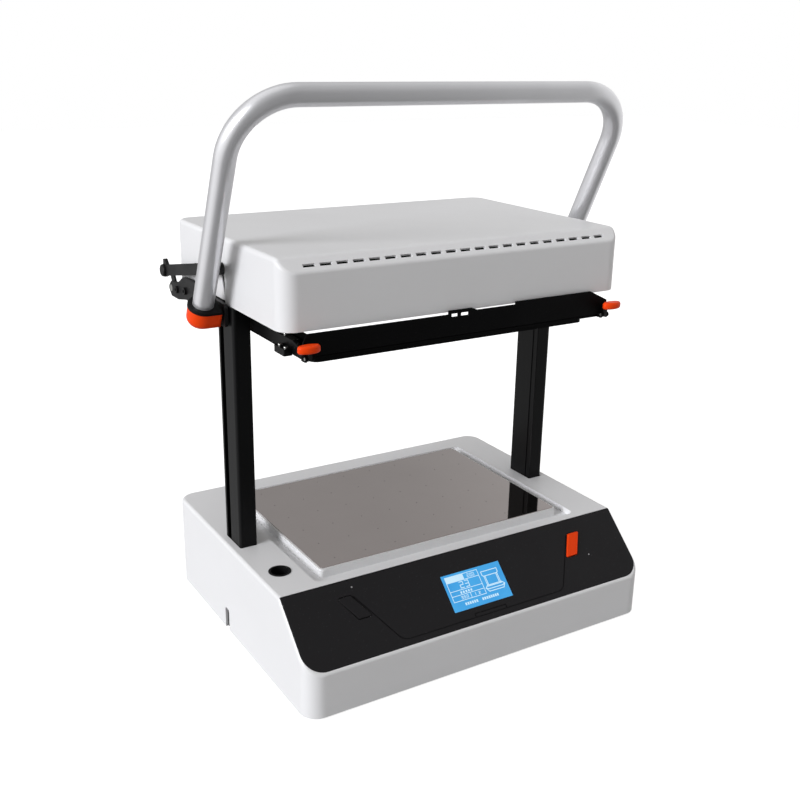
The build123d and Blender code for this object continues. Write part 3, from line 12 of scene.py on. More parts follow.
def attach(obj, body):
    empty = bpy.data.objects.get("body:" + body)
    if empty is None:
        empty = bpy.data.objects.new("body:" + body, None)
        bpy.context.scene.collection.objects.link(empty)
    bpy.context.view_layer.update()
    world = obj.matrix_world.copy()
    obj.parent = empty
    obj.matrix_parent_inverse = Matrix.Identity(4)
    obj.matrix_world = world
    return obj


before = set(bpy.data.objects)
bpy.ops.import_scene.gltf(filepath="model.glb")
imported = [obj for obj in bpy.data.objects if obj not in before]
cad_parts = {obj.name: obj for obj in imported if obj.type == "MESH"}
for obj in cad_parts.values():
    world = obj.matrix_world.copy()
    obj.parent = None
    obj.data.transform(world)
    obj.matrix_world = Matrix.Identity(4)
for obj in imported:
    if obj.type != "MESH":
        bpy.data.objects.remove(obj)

LOG = logging.getLogger("forming_machine")
Colour = tuple[float, float, float]
Point2 = tuple[float, float]
Point3 = tuple[float, float, float]
Range = tuple[float, float]
Polyline = tuple[Point2, ...]
MM = 0.001


# Shared shader effects


class Effect(Enum):
    """The node groups that more than one finish uses."""

    MOTTLE = "mottle"
    ORANGE_PEEL = "orange_peel"
    BRUSHED = "brushed_grain"
    SPECKLE = "speckle"
    HANDLING = "handling_marks"


class Socket(Enum):
    """What a node group's input or output carries."""

    NUMBER = "NodeSocketFloat"
    COLOUR = "NodeSocketColor"
    VECTOR = "NodeSocketVector"


@dataclass(frozen=True)
class GroupEnds:
    """A node group's input node, its output node and its object coordinates."""

    source: bpy.types.Node
    sink: bpy.types.Node
    place: bpy.types.NodeSocket


class EffectLibrary:
    """Builds each shared node group once and hands it to the finishes."""

    MOTTLE_REACH: Range = (0.3, 0.7)
    HANDLING_REACH: Range = (0.35, 0.65)
    FINE_PEEL_SCALE: float = 4.0

    def __init__(self) -> None:
        """Start with no groups built."""
        self._groups: dict[Effect, bpy.types.NodeTree] = {}
        self._makers: dict[Effect, Callable[[bpy.types.NodeTree], None]] = {
            Effect.MOTTLE: self._mottle,
            Effect.ORANGE_PEEL: self._orange_peel,
            Effect.BRUSHED: self._brushed,
            Effect.SPECKLE: self._speckle,
            Effect.HANDLING: self._handling,
        }

    def get(self, effect: Effect) -> bpy.types.NodeTree:
        """Return the group of one effect.

        Args:
            effect: The effect wanted.

        Returns:
            Its node group, built at the first call.
        """
        if effect not in self._groups:
            tree = bpy.data.node_groups.new(effect.value, "ShaderNodeTree")
            self._makers[effect](tree)
            self._groups[effect] = tree
        return self._groups[effect]

    @staticmethod
    def _ends(tree: bpy.types.NodeTree, inputs: dict[str, Socket],
              outputs: dict[str, Socket]) -> GroupEnds:
        """Make a group's sockets and the nodes at its two ends.

        Args:
            tree: The group.
            inputs: Its inputs by name.
            outputs: Its outputs by name.

        Returns:
            The end nodes, with the object coordinates.
        """
        for way, sockets in (("INPUT", inputs), ("OUTPUT", outputs)):
            for name, kind in sockets.items():
                tree.interface.new_socket(name=name, in_out=way, socket_type=kind.value)
        source = tree.nodes.new("NodeGroupInput")
        sink = tree.nodes.new("NodeGroupOutput")
        place = tree.nodes.new("ShaderNodeTexCoord")
        return GroupEnds(source, sink, place.outputs["Object"])

    @staticmethod
    def _scaled(tree: bpy.types.NodeTree, ends: GroupEnds) -> bpy.types.NodeSocket:
        """Multiply a group's object coordinates by its Scale input.

        Args:
            tree: The group.
            ends: Its end nodes.

        Returns:
            The scaled coordinates.
        """
        node = tree.nodes.new("ShaderNodeVectorMath")
        node.operation = "SCALE"
        tree.links.new(ends.place, node.inputs[0])
        tree.links.new(ends.source.outputs["Scale"], node.inputs["Scale"])
        return node.outputs["Vector"]

    @staticmethod
    def _noise(tree: bpy.types.NodeTree, vector: bpy.types.NodeSocket, detail: float,
               scale: float = 1.0) -> bpy.types.NodeSocket:
        """Add a noise texture.

        Args:
            tree: The group.
            vector: The coordinates it is read at.
            detail: Its octaves.
            scale: Waves for each unit of the coordinates.

        Returns:
            The noise, from 0 to 1.
        """
        noise = tree.nodes.new("ShaderNodeTexNoise")
        noise.inputs["Scale"].default_value = scale
        noise.inputs["Detail"].default_value = detail
        tree.links.new(vector, noise.inputs["Vector"])
        return noise.outputs["Fac"]

    @staticmethod
    def _spread(tree: bpy.types.NodeTree, value: bpy.types.NodeSocket,
                reach: Range = (0.0, 1.0)) -> bpy.types.Node:
        """Stretch a part of a value's range.

        Args:
            tree: The group.
            value: The value.
            reach: The part that is stretched.

        Returns:
            The map range node, from 0 to 1 until it is told otherwise.
        """
        spread = tree.nodes.new("ShaderNodeMapRange")
        spread.inputs["From Min"].default_value, spread.inputs["From Max"].default_value = reach
        tree.links.new(value, spread.inputs["Value"])
        return spread

    @staticmethod
    def _mixed(tree: bpy.types.NodeTree, share: bpy.types.NodeSocket, first: bpy.types.NodeSocket,
               second: bpy.types.NodeSocket) -> bpy.types.NodeSocket:
        """Mix two colours.

        Args:
            tree: The group.
            share: How much of the second there is.
            first: The first colour.
            second: The second colour.

        Returns:
            The mixed colour.
        """
        mix = tree.nodes.new("ShaderNodeMix")
        mix.data_type = "RGBA"
        tree.links.new(share, mix.inputs["Factor"])
        tree.links.new(first, mix.inputs["A"])
        tree.links.new(second, mix.inputs["B"])
        return mix.outputs["Result"]

    def _mottle(self, tree: bpy.types.NodeTree) -> None:
        """Let two colours drift into each other, for a surface that isn't quite even.

        Args:
            tree: The group to fill.
        """
        ends = self._ends(
            tree,
            {"Base": Socket.COLOUR, "Drift": Socket.COLOUR, "Scale": Socket.NUMBER},
            {"Colour": Socket.COLOUR},
        )
        noise = self._noise(tree, self._scaled(tree, ends), detail=5.0)
        share = self._spread(tree, noise, self.MOTTLE_REACH).outputs["Result"]
        colours = ends.source.outputs
        mixed = self._mixed(tree, share, colours["Base"], colours["Drift"])
        tree.links.new(mixed, ends.sink.inputs["Colour"])

    def _orange_peel(self, tree: bpy.types.NodeTree) -> None:
        """Make the low waves of a moulded or coated skin, with fine grain on top.

        Args:
            tree: The group to fill.
        """
        ends = self._ends(
            tree, {"Scale": Socket.NUMBER, "Fine": Socket.NUMBER}, {"Height": Socket.NUMBER}
        )
        vector = self._scaled(tree, ends)
        broad = self._noise(tree, vector, detail=2.0)
        fine = self._noise(tree, vector, detail=3.0, scale=self.FINE_PEEL_SCALE)
        total = tree.nodes.new("ShaderNodeMath")
        total.operation = "MULTIPLY_ADD"
        tree.links.new(fine, total.inputs[0])
        tree.links.new(ends.source.outputs["Fine"], total.inputs[1])
        tree.links.new(broad, total.inputs[2])
        tree.links.new(total.outputs["Value"], ends.sink.inputs["Height"])

    def _brushed(self, tree: bpy.types.NodeTree) -> None:
        """Draw a noise out along one direction, as rolling, drawing or brushing does.

        Args:
            tree: The group to fill.
        """
        ends = self._ends(
            tree,
            {"Stretch": Socket.VECTOR, "Roughness Low": Socket.NUMBER,
             "Roughness High": Socket.NUMBER},
            {"Height": Socket.NUMBER, "Roughness": Socket.NUMBER},
        )
        drawn = tree.nodes.new("ShaderNodeVectorMath")
        drawn.operation = "MULTIPLY"
        tree.links.new(ends.place, drawn.inputs[0])
        tree.links.new(ends.source.outputs["Stretch"], drawn.inputs[1])
        noise = self._noise(tree, drawn.outputs["Vector"], detail=4.0)
        spread = self._spread(tree, noise)
        tree.links.new(ends.source.outputs["Roughness Low"], spread.inputs["To Min"])
        tree.links.new(ends.source.outputs["Roughness High"], spread.inputs["To Max"])
        tree.links.new(noise, ends.sink.inputs["Height"])
        tree.links.new(spread.outputs["Result"], ends.sink.inputs["Roughness"])

    def _speckle(self, tree: bpy.types.NodeTree) -> None:
        """Strew sparse pale dust grains on a dark surface.

        Args:
            tree: The group to fill.
        """
        ends = self._ends(
            tree,
            {"Colour": Socket.COLOUR, "Dust": Socket.COLOUR, "Scale": Socket.NUMBER,
             "Amount": Socket.NUMBER},
            {"Colour": Socket.COLOUR},
        )
        cells = tree.nodes.new("ShaderNodeTexVoronoi")
        cells.inputs["Scale"].default_value = 1.0
        tree.links.new(self._scaled(tree, ends), cells.inputs["Vector"])
        near = tree.nodes.new("ShaderNodeMath")
        near.operation = "LESS_THAN"
        tree.links.new(cells.outputs["Distance"], near.inputs[0])
        tree.links.new(ends.source.outputs["Amount"], near.inputs[1])
        colours = ends.source.outputs
        mixed = self._mixed(tree, near.outputs["Value"], colours["Colour"], colours["Dust"])
        tree.links.new(mixed, ends.sink.inputs["Colour"])

    def _handling(self, tree: bpy.types.NodeTree) -> None:
        """Let the roughness wander between two values, as on wiped and touched surfaces.

        Args:
            tree: The group to fill.
        """
        ends = self._ends(
            tree,
            {"Scale": Socket.NUMBER, "Clean": Socket.NUMBER, "Touched": Socket.NUMBER},
            {"Roughness": Socket.NUMBER},
        )
        noise = self._noise(tree, self._scaled(tree, ends), detail=6.0)
        spread = self._spread(tree, noise, self.HANDLING_REACH)
        tree.links.new(ends.source.outputs["Clean"], spread.inputs["To Min"])
        tree.links.new(ends.source.outputs["Touched"], spread.inputs["To Max"])
        tree.links.new(spread.outputs["Result"], ends.sink.inputs["Roughness"])


EFFECTS = EffectLibrary()


# Finishes


class Shader:
    """A material under construction, with its principled shader."""

    def __init__(self, name: str) -> None:
        """Start a material with a principled shader.

        Args:
            name: The material's name.
        """
        self.material = bpy.data.materials.new(name)
        self.material.use_nodes = True
        self.tree = self.material.node_tree
        self.tree.nodes.clear()
        self.output = self.tree.nodes.new("ShaderNodeOutputMaterial")
        self.bsdf = self.tree.nodes.new("ShaderNodeBsdfPrincipled")
        self.tree.links.new(self.bsdf.outputs["BSDF"], self.output.inputs["Surface"])

    def effect(self, effect: Effect, **values: float | Sequence[float]) -> bpy.types.Node:
        """Place a shared effect in the material.

        Args:
            effect: The effect.
            **values: Its inputs, with spaces in their names written as underscores.

        Returns:
            The group node.
        """
        node = self.tree.nodes.new("ShaderNodeGroup")
        node.node_tree = EFFECTS.get(effect)
        for name, value in values.items():
            socket = node.inputs[name.replace("_", " ")]
            socket.default_value = (*value, 1.0) if socket.type == "RGBA" else value
        return node

    def feed(self, socket: bpy.types.NodeSocket, name: str) -> None:
        """Link a socket to one of the shader's inputs."""
        self.tree.links.new(socket, self.bsdf.inputs[name])

    def mottle(self, base: Colour, drift: Colour, scale: float, name: str = "Base Color") -> None:
        """Colour one of the shader's inputs with two colours that drift into each other.

        Args:
            base: The first colour.
            drift: The second colour.
            scale: Waves per metre.
            name: The shader's input.
        """
        tint = self.effect(Effect.MOTTLE, Base=base, Drift=drift, Scale=scale)
        self.feed(tint.outputs["Colour"], name)

    def wipe(self, roughness: Range, scale: float) -> None:
        """Give the surface a roughness that wanders, as handling leaves it.

        Args:
            roughness: The roughness where it is clean and where it was touched.
            scale: Waves per metre.
        """
        rough = self.effect(Effect.HANDLING, Scale=scale, Clean=roughness[0], Touched=roughness[1])
        self.feed(rough.outputs["Roughness"], "Roughness")

    def peel(self, distance: float, scale: float, fine: float) -> None:
        """Raise the surface by the waves of a moulded or coated skin.

        Args:
            distance: The height of the waves in metres.
            scale: Waves per metre.
            fine: How much fine grain there is on them.
        """
        peel = self.effect(Effect.ORANGE_PEEL, Scale=scale, Fine=fine)
        self.bump(peel.outputs["Height"], distance)

    def bump(self, height: bpy.types.NodeSocket, distance: float) -> None:
        """Raise the surface by a height.

        Args:
            height: The height's socket.
            distance: Metres that a height of one stands for.
        """
        bump = self.tree.nodes.new("ShaderNodeBump")
        bump.inputs["Distance"].default_value = distance
        bump.inputs["Strength"].default_value = 1.0
        self.tree.links.new(height, bump.inputs["Height"])
        self.feed(bump.outputs["Normal"], "Normal")

    def set(self, **values: float | Sequence[float]) -> None:
        """Set the shader's own sockets.

        Args:
            **values: Their values, with spaces in their names written as underscores.
        """
        for name, value in values.items():
            socket = self.bsdf.inputs[name.replace("_", " ")]
            socket.default_value = (*value, 1.0) if socket.type == "RGBA" else value


class Surface(Protocol):
    """What every finish can do."""

    def build(self) -> bpy.types.Material:
        """Return the finish's material."""


@dataclass(frozen=True)
class MouldedPlastic:
    """A moulded, coated or glazed skin with a slight orange peel."""

    name: str
    colour: Colour
    drift: Colour
    roughness: Range = (0.35, 0.45)
    peel: float = 0.00002
    peel_scale: float = 900.0
    peel_fine: float = 0.3
    mottle_scale: float = 9.0
    wipe_scale: float = 16.0
    gloss: float = 0.5
    coat: float = 0.0

    def build(self) -> bpy.types.Material:
        """Build the material.

        Returns:
            The material.
        """
        shader = Shader(self.name)
        shader.mottle(self.colour, self.drift, self.mottle_scale)
        shader.wipe(self.roughness, self.wipe_scale)
        shader.peel(self.peel, self.peel_scale, self.peel_fine)
        shader.set(Specular_IOR_Level=self.gloss, Coat_Weight=self.coat)
        return shader.material


@dataclass(frozen=True)
class DustyBlack:
    """Matt black moulding, rubber or coating with a few grains of dust."""

    name: str
    colour: Colour
    dust: Colour = (0.09, 0.09, 0.095)
    dust_scale: float = 330.0
    dust_amount: float = 0.07
    roughness: Range = (0.5, 0.62)
    wipe_scale: float = 24.0
    grain: float = 0.00003
    grain_scale: float = 1500.0
    grain_fine: float = 0.8
    gloss: float = 0.25

    def build(self) -> bpy.types.Material:
        """Build the material.

        Returns:
            The material.
        """
        shader = Shader(self.name)
        dust = shader.effect(Effect.SPECKLE, Colour=self.colour, Dust=self.dust,
                             Scale=self.dust_scale, Amount=self.dust_amount)
        shader.feed(dust.outputs["Colour"], "Base Color")
        shader.wipe(self.roughness, self.wipe_scale)
        shader.peel(self.grain, self.grain_scale, self.grain_fine)
        shader.set(Specular_IOR_Level=self.gloss)
        return shader.material


@dataclass(frozen=True)
class DrawnMetal:
    """Metal with fine lines the way it was drawn or brushed, or smooth where lines is 0."""

    name: str
    colour: Colour
    drift: Colour
    stretch: Point3
    roughness: Range = (0.25, 0.4)
    lines: float = 0.00001
    mottle_scale: float = 14.0
    metallic: float = 1.0
    gloss: float = 0.5

    def build(self) -> bpy.types.Material:
        """Build the material.

        Returns:
            The material.
        """
        shader = Shader(self.name)
        shader.mottle(self.colour, self.drift, self.mottle_scale)
        low, high = self.roughness
        grain = shader.effect(Effect.BRUSHED, Stretch=self.stretch, Roughness_Low=low,
                              Roughness_High=high)
        shader.feed(grain.outputs["Roughness"], "Roughness")
        if self.lines:
            shader.bump(grain.outputs["Height"], self.lines)
        shader.set(Metallic=self.metallic, Specular_IOR_Level=self.gloss)
        return shader.material


@dataclass(frozen=True)
class ClearGlass:
    """Clear glass, faintly wiped."""

    name: str
    colour: Colour = (1.0, 1.0, 1.0)
    roughness: Range = (0.01, 0.04)
    wipe_scale: float = 30.0
    ior: float = 1.45

    def build(self) -> bpy.types.Material:
        """Build the material.

        Returns:
            The material.
        """
        shader = Shader(self.name)
        shader.wipe(self.roughness, self.wipe_scale)
        shader.set(Base_Color=self.colour, Transmission_Weight=1.0, IOR=self.ior)
        return shader.material


@dataclass(frozen=True)
class LitScreen:
    """The glow of a backlit display, a little uneven as such displays are."""

    name: str
    colour: Colour
    drift: Colour
    mottle_scale: float = 26.0
    strength: float = 1.0
    roughness: float = 0.6
    gloss: float = 0.1

    def build(self) -> bpy.types.Material:
        """Build the material.

        Returns:
            The material.
        """
        shader = Shader(self.name)
        shader.mottle(self.colour, self.drift, self.mottle_scale, "Emission Color")
        shader.set(Base_Color=(0.0, 0.0, 0.0), Emission_Strength=self.strength,
                   Roughness=self.roughness, Specular_IOR_Level=self.gloss)
        return shader.material


class Finish(Enum):
    """Every finish of the machine."""

    WHITE = MouldedPlastic("white_moulding", (0.80, 0.80, 0.81), (0.78, 0.78, 0.79))
    ORANGE = MouldedPlastic(
        "orange_moulding", (0.93, 0.064, 0.004), (0.88, 0.056, 0.004), roughness=(0.28, 0.38),
        peel=0.000015, peel_scale=700.0, gloss=0.12,
    )
    PANEL = DustyBlack("black_panel", (0.0135, 0.0128, 0.014), gloss=0.15)
    # Real black mouldings, and also painted shade: the arch liners wear this black in place of the shaded
    # inside of the head seen past the arch covers.
    BLACK = DustyBlack("black_moulding_and_shade_liner", (0.004, 0.004, 0.0042), gloss=0.12)
    COATED = DustyBlack(
        "black_coated_steel", (0.0048, 0.0047, 0.005), roughness=(0.42, 0.55), grain=0.00004,
        gloss=0.24,
    )
    # Real black coating on the frames, and also painted shade: the vent baffle wears this black in place of the
    # shaded inside of the head behind the vent slots.
    FRAMES_AND_SHADE_BAFFLE = DustyBlack(
        "black_coated_frames_and_shade_baffle", (0.0016, 0.0016, 0.0018), dust=(0.03, 0.03, 0.03),
        roughness=(0.48, 0.6), grain=0.00004, gloss=0.06,
    )
    RUBBER = DustyBlack("black_rubber", (0.014, 0.014, 0.014), roughness=(0.7, 0.85), gloss=0.2)
    ANODISED = DrawnMetal(
        "black_anodised", (0.0018, 0.0019, 0.0022), (0.0026, 0.0027, 0.003),
        stretch=(900.0, 900.0, 12.0), roughness=(0.3, 0.42), lines=0.00002, metallic=0.0,
        gloss=0.145,
    )
    TUBE = DrawnMetal(
        "satin_tube", (0.75, 0.75, 0.77), (0.71, 0.71, 0.73), stretch=(9.0, 9.0, 9.0),
        roughness=(0.26, 0.32), lines=0.0, metallic=0.7,
    )
    PLATEN = DrawnMetal(
        "polished_platen", (0.43, 0.388, 0.375), (0.415, 0.373, 0.36),
        stretch=(14.0, 500.0, 500.0), roughness=(0.02, 0.06), lines=0.0000006,
    )
    BRIGHT = DrawnMetal(
        "zinc_plated", (0.55, 0.55, 0.53), (0.48, 0.48, 0.46), stretch=(300.0, 300.0, 300.0)
    )
    REFLECTOR = DrawnMetal(
        "bright_reflector", (0.74, 0.73, 0.71), (0.68, 0.67, 0.65),
        stretch=(20.0, 400.0, 400.0), roughness=(0.15, 0.28),
    )
    PLAIN = DrawnMetal(
        "plain_aluminium", (0.6, 0.6, 0.61), (0.54, 0.54, 0.55), stretch=(300.0, 300.0, 60.0)
    )
    CERAMIC = MouldedPlastic(
        "glazed_ceramic", (0.78, 0.76, 0.71), (0.72, 0.7, 0.64), roughness=(0.2, 0.3),
        peel=0.00003, peel_scale=300.0, coat=0.4,
    )
    BLANKET = MouldedPlastic(
        "fibre_blanket", (0.7, 0.67, 0.58), (0.58, 0.55, 0.46), roughness=(0.85, 0.95),
        peel=0.0008, peel_scale=600.0, gloss=0.1,
    )
    BOARD = MouldedPlastic(
        "circuit_board", (0.012, 0.09, 0.035), (0.008, 0.07, 0.028), roughness=(0.3, 0.4),
        peel=0.00004, peel_scale=500.0,
    )
    LAMP = MouldedPlastic(
        "unlit_lamp", (0.42, 0.42, 0.43), (0.36, 0.36, 0.37), roughness=(0.2, 0.3)
    )
    QUARTZ = ClearGlass("quartz_tube", (0.95, 0.93, 0.88), (0.05, 0.12))
    GLASS = ClearGlass("screen_cover")
    FIELD = LitScreen("screen_field", (0.04, 0.34, 0.76), (0.065, 0.42, 0.84))
    MARKS = LitScreen("screen_marks", (0.62, 0.86, 1.0), (0.55, 0.8, 1.0))


FINISHED_NODES: dict[Finish, tuple[str, ...]] = {
    Finish.WHITE: ("base_shell", "head_shell", "arch_covers", "platen_seal"),
    Finish.ORANGE: ("start_button", "end_caps", "latch_thumb_right", "latch_thumb_left"),
    Finish.PANEL: ("control_panel", "menu_button"),
    # arch_liners are painted shade: black sheets behind the arch openings in place of the shaded inside of the
    # head.
    Finish.BLACK: (
        "arch_liners", "display_module", "sensor_bezel", "sensor_cup", "vacuum_chamber",
        "motor_can", "power_inlet", "switch_frame", "power_rocker", "handle_collars",
        "slide_shoes",
    ),
    Finish.COATED: (
        "bottom_plate", "motor_winding", "column_brackets", "head_chassis", "rocker_levers",
        "rear_pins", "link_pins", "plate_bolts", "carriage_plates", "links", "latch_right",
        "latch_left",
    ),
    # vent_baffle is painted shade: a black sheet behind the vent slots in place of the shaded inside of the
    # head.
    Finish.FRAMES_AND_SHADE_BAFFLE: ("vent_baffle", "lower_frame", "upper_frame"),
    Finish.RUBBER: ("rubber_feet", "inlet_seal", "lower_gasket", "upper_gasket"),
    Finish.ANODISED: ("columns", "side_rails"),
    Finish.TUBE: ("handle_tube",),
    Finish.PLATEN: ("platen",),
    Finish.BRIGHT: ("heater_guard", "hinge_shaft", "handle_pins", "latch_pins", "frame_screws"),
    Finish.REFLECTOR: ("heater_reflector",),
    Finish.PLAIN: ("suction_fan",),
    Finish.CERAMIC: ("heater_holders",),
    Finish.BLANKET: ("insulation_blanket",),
    Finish.BOARD: ("button_switches", "control_board", "power_board"),
    Finish.LAMP: ("panel_lights",),
    Finish.QUARTZ: ("heater_tubes",),
    Finish.GLASS: ("screen_glass",),
}


class Dresser:
    """Gives every piece and every carried-over node its finish."""

    def __init__(self) -> None:
        """Start with no materials built."""
        self._built: dict[Finish, bpy.types.Material] = {}

    def material(self, finish: Finish) -> bpy.types.Material:
        """Return the material of a finish.

        Args:
            finish: The finish.

        Returns:
            Its material, built at the first call.
        """
        if finish not in self._built:
            surface: Surface = finish.value
            self._built[finish] = surface.build()
        return self._built[finish]

    def dress(self, obj: bpy.types.Object, finish: Finish) -> None:
        """Put one finish on an object.

        Args:
            obj: The object.
            finish: The finish.
        """
        obj.data.materials.clear()
        obj.data.materials.append(self.material(finish))

    def dress_nodes(self) -> None:
        """Dress every node of the frame."""
        finishes = {name: finish for finish, names in FINISHED_NODES.items() for name in names}
        for name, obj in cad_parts.items():
            self.dress(obj, finishes[name])
            LOG.info("node %s: %s", name, finishes[name].name.lower())


# Pieces


@dataclass(frozen=True)
class Number:
    """A plain number on the display, in millimetres."""

    digits: str
    corner: Point2
    size: Point2
    line: float


@dataclass(frozen=True)
class Blocks:
    """A row of plain blocks on the display, in millimetres."""

    count: int
    corner: Point2
    size: Point2
    pitch: float


@dataclass(frozen=True)
class Screen:
    """The lit display behind the panel's glass, with a field and generic line graphics.

    The origin is in metres and the slope in degrees. The rest is in millimetres in the panel's
    plane, x to the right and y up the slope, and the graphics count from the display's centre.
    """

    SEGMENTS = {
        "a": ((0.0, 1.0), (1.0, 1.0)), "b": ((1.0, 1.0), (1.0, 0.5)),
        "c": ((1.0, 0.5), (1.0, 0.0)), "d": ((0.0, 0.0), (1.0, 0.0)),
        "e": ((0.0, 0.0), (0.0, 0.5)), "f": ((0.0, 0.5), (0.0, 1.0)),
        "g": ((0.0, 0.5), (1.0, 0.5)),
    }
    DIGITS = {"0": "abcdef", "1": "bc", "2": "abged", "3": "abgcd", "5": "afgcd"}

    origin: Point3 = (0.0, -0.1124, 0.111)
    slope: float = 43.0
    centre: Point2 = (2.0, -45.7)
    size: Point2 = (78.0, 42.6)
    margin: float = 0.4
    depth: float = -1.49
    field_lift: float = 0.03
    mark_lift: float = 0.06
    digit_pitch: float = 1.75
    table_line: float = 0.75
    table: tuple[Polyline, ...] = (
        ((-34.4, 18.1), (7.8, 18.1), (7.8, -10.2), (-34.4, -10.2), (-34.4, 18.1)),
        ((-34.4, 1.4), (7.8, 1.4)),
        ((-34.4, -4.0), (7.8, -4.0)),
        ((-10.9, -4.0), (-10.9, -10.2)),
        ((-10.9, 11.4), (7.8, 11.4)),
    )
    heading: tuple[Point2, Point2] = ((-34.4, 11.2), (-11.2, 18.1))
    numbers: tuple[Number, ...] = (
        Number("23", (-19.2, 3.1), (4.1, 6.9), 0.95),
        Number("200", (-6.4, 12.9), (2.0, 3.4), 0.6),
        Number("35", (-23.5, -8.6), (1.9, 2.8), 0.6),
        Number("0", (-16.6, -8.6), (1.9, 2.8), 0.6),
        Number("1", (-7.0, -8.6), (1.9, 2.8), 0.6),
        Number("2", (-0.8, -8.6), (1.9, 2.8), 0.6),
    )
    rows: tuple[Blocks, ...] = (
        Blocks(5, (-22.4, -2.9), (2.0, 2.6), 3.3),
        Blocks(6, (-22.2, -16.4), (2.0, 3.0), 2.9),
        Blocks(8, (0.2, -16.4), (2.0, 3.0), 2.8),
    )
    drawing_line: float = 0.95
    drawing: tuple[Polyline, ...] = (
        ((11.6, 14.0), (32.4, 14.0), (32.4, 10.0), (30.9, 8.6), (13.0, 8.6), (11.6, 10.0),
         (11.6, 14.0)),
        ((13.4, 8.6), (13.4, -2.0)),
        ((31.0, 8.6), (31.0, -2.0)),
        ((14.9, 7.6), (14.9, -2.0)),
        ((29.4, 7.6), (29.4, -2.0)),
        ((13.0, -2.2), (32.0, -2.2)),
        ((13.0, -3.3), (32.0, -3.3)),
        ((13.0, -2.2), (10.0, -5.0), (13.0, -9.2), (32.2, -9.2), (35.2, -5.0), (32.2, -2.2)),
        ((13.2, -6.4), (32.0, -6.4)),
        ((10.0, -5.0), (13.2, -6.4)),
        ((35.2, -5.0), (32.0, -6.4)),
    )

    def matrix(self) -> Matrix:
        """Return the panel's plane.

        Returns:
            The turn and shift that take X right, Y up the slope and Z outward to the machine's.
        """
        lean = math.radians(self.slope)
        cos, sin = math.cos(lean), math.sin(lean)
        axes = Matrix(((1, 0, 0), (0, cos, -sin), (0, sin, cos)))
        return Matrix.Translation(self.origin) @ axes.to_4x4()

    def _block(self, mesh: bmesh.types.BMesh, ring: Sequence[Sequence[float]],
               lift: float) -> None:
        """Add a thin block on the display's face.

        Args:
            mesh: The mesh to add to.
            ring: Its corners, counter-clockwise.
            lift: Its height.
        """
        cx, cy = self.centre
        base, top = (
            [mesh.verts.new(((cx + x) * MM, (cy + y) * MM, level * MM)) for x, y in ring]
            for level in (self.depth, self.depth + lift)
        )
        mesh.faces.new(top)
        mesh.faces.new(list(reversed(base)))
        for i, low in enumerate(base):
            j = (i + 1) % len(base)
            mesh.faces.new((low, base[j], top[j], top[i]))

    def _plate(self, mesh: bmesh.types.BMesh, low: Point2, high: Point2, lift: float) -> None:
        """Add a thin rectangular plate.

        Args:
            mesh: The mesh to add to.
            low: Its left and lower edges.
            high: Its right and upper edges.
            lift: Its height.
        """
        self._block(mesh, (low, (high[0], low[1]), high, (low[0], high[1])), lift)

    def _stroke(self, mesh: bmesh.types.BMesh, path: Polyline, width: float) -> None:
        """Draw a thin line through points.

        Args:
            mesh: The mesh to add to.
            path: The points, the first one again at the end of a closed outline.
            width: The line's width.
        """
        points = [Vector(point) for point in path]
        for start, end in zip(points, points[1:]):
            along = (end - start).normalized()
            side = Vector((-along.y, along.x)) * width / 2
            reach = along * width / 2
            ring = (start - reach + side, start - reach - side,
                    end + reach - side, end + reach + side)
            self._block(mesh, ring, self.mark_lift)

    def _number(self, mesh: bmesh.types.BMesh, number: Number) -> None:
        """Draw a plain number in seven-line digits.

        Args:
            mesh: The mesh to add to.
            number: The number.
        """
        left, low = number.corner
        width, height = number.size
        for i, digit in enumerate(number.digits):
            x = left + i * width * self.digit_pitch
            for key in self.DIGITS[digit]:
                path = tuple((x + u * width, low + v * height) for u, v in self.SEGMENTS[key])
                self._stroke(mesh, path, number.line)

    def _row(self, mesh: bmesh.types.BMesh, row: Blocks) -> None:
        """Draw a row of plain blocks.

        Args:
            mesh: The mesh to add to.
            row: The row.
        """
        left, low = row.corner
        width, height = row.size
        for i in range(row.count):
            x = left + row.pitch * i
            self._plate(mesh, (x, low), (x + width, low + height), self.mark_lift)

    def _marks(self) -> bmesh.types.BMesh:
        """Draw the table, the numbers, the rows of blocks and the machine's outline.

        Returns:
            The mesh of all marks.
        """
        mesh = bmesh.new()
        for path in self.table:
            self._stroke(mesh, path, self.table_line)
        self._plate(mesh, *self.heading, self.mark_lift)
        for number in self.numbers:
            self._number(mesh, number)
        for row in self.rows:
            self._row(mesh, row)
        for path in self.drawing:
            self._stroke(mesh, path, self.drawing_line)
        return mesh

    def _field(self) -> bmesh.types.BMesh:
        """Lay the lit field behind the glass.

        Returns:
            The mesh of the field.
        """
        mesh = bmesh.new()
        w, h = (length / 2 - self.margin for length in self.size)
        self._plate(mesh, (-w, -h), (w, h), self.field_lift)
        return mesh

    def _finish(self, name: str, mesh: bmesh.types.BMesh, dresser: Dresser, finish: Finish) -> bpy.types.Object:
        """Turn a mesh into a piece on the panel.

        Args:
            name: The piece's name.
            mesh: Its mesh in the panel's plane.
            dresser: Gives the material.
            finish: The piece's finish.

        Returns:
            The piece.
        """
        data = bpy.data.meshes.new(name)
        bmesh.ops.recalc_face_normals(mesh, faces=mesh.faces)
        mesh.transform(self.matrix())
        mesh.to_mesh(data)
        mesh.free()
        piece = bpy.data.objects.new(name, data)
        bpy.context.scene.collection.objects.link(piece)
        dresser.dress(piece, finish)
        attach(piece, "base")
        LOG.info("piece %s", name)
        return piece

    def build(self, dresser: Dresser) -> None:
        """Build the lit field and its graphics.

        Args:
            dresser: Gives the materials.
        """
        self._finish("screen_field", self._field(), dresser, Finish.FIELD)
        self._finish("screen_graphics", self._marks(), dresser, Finish.MARKS)


# Studio


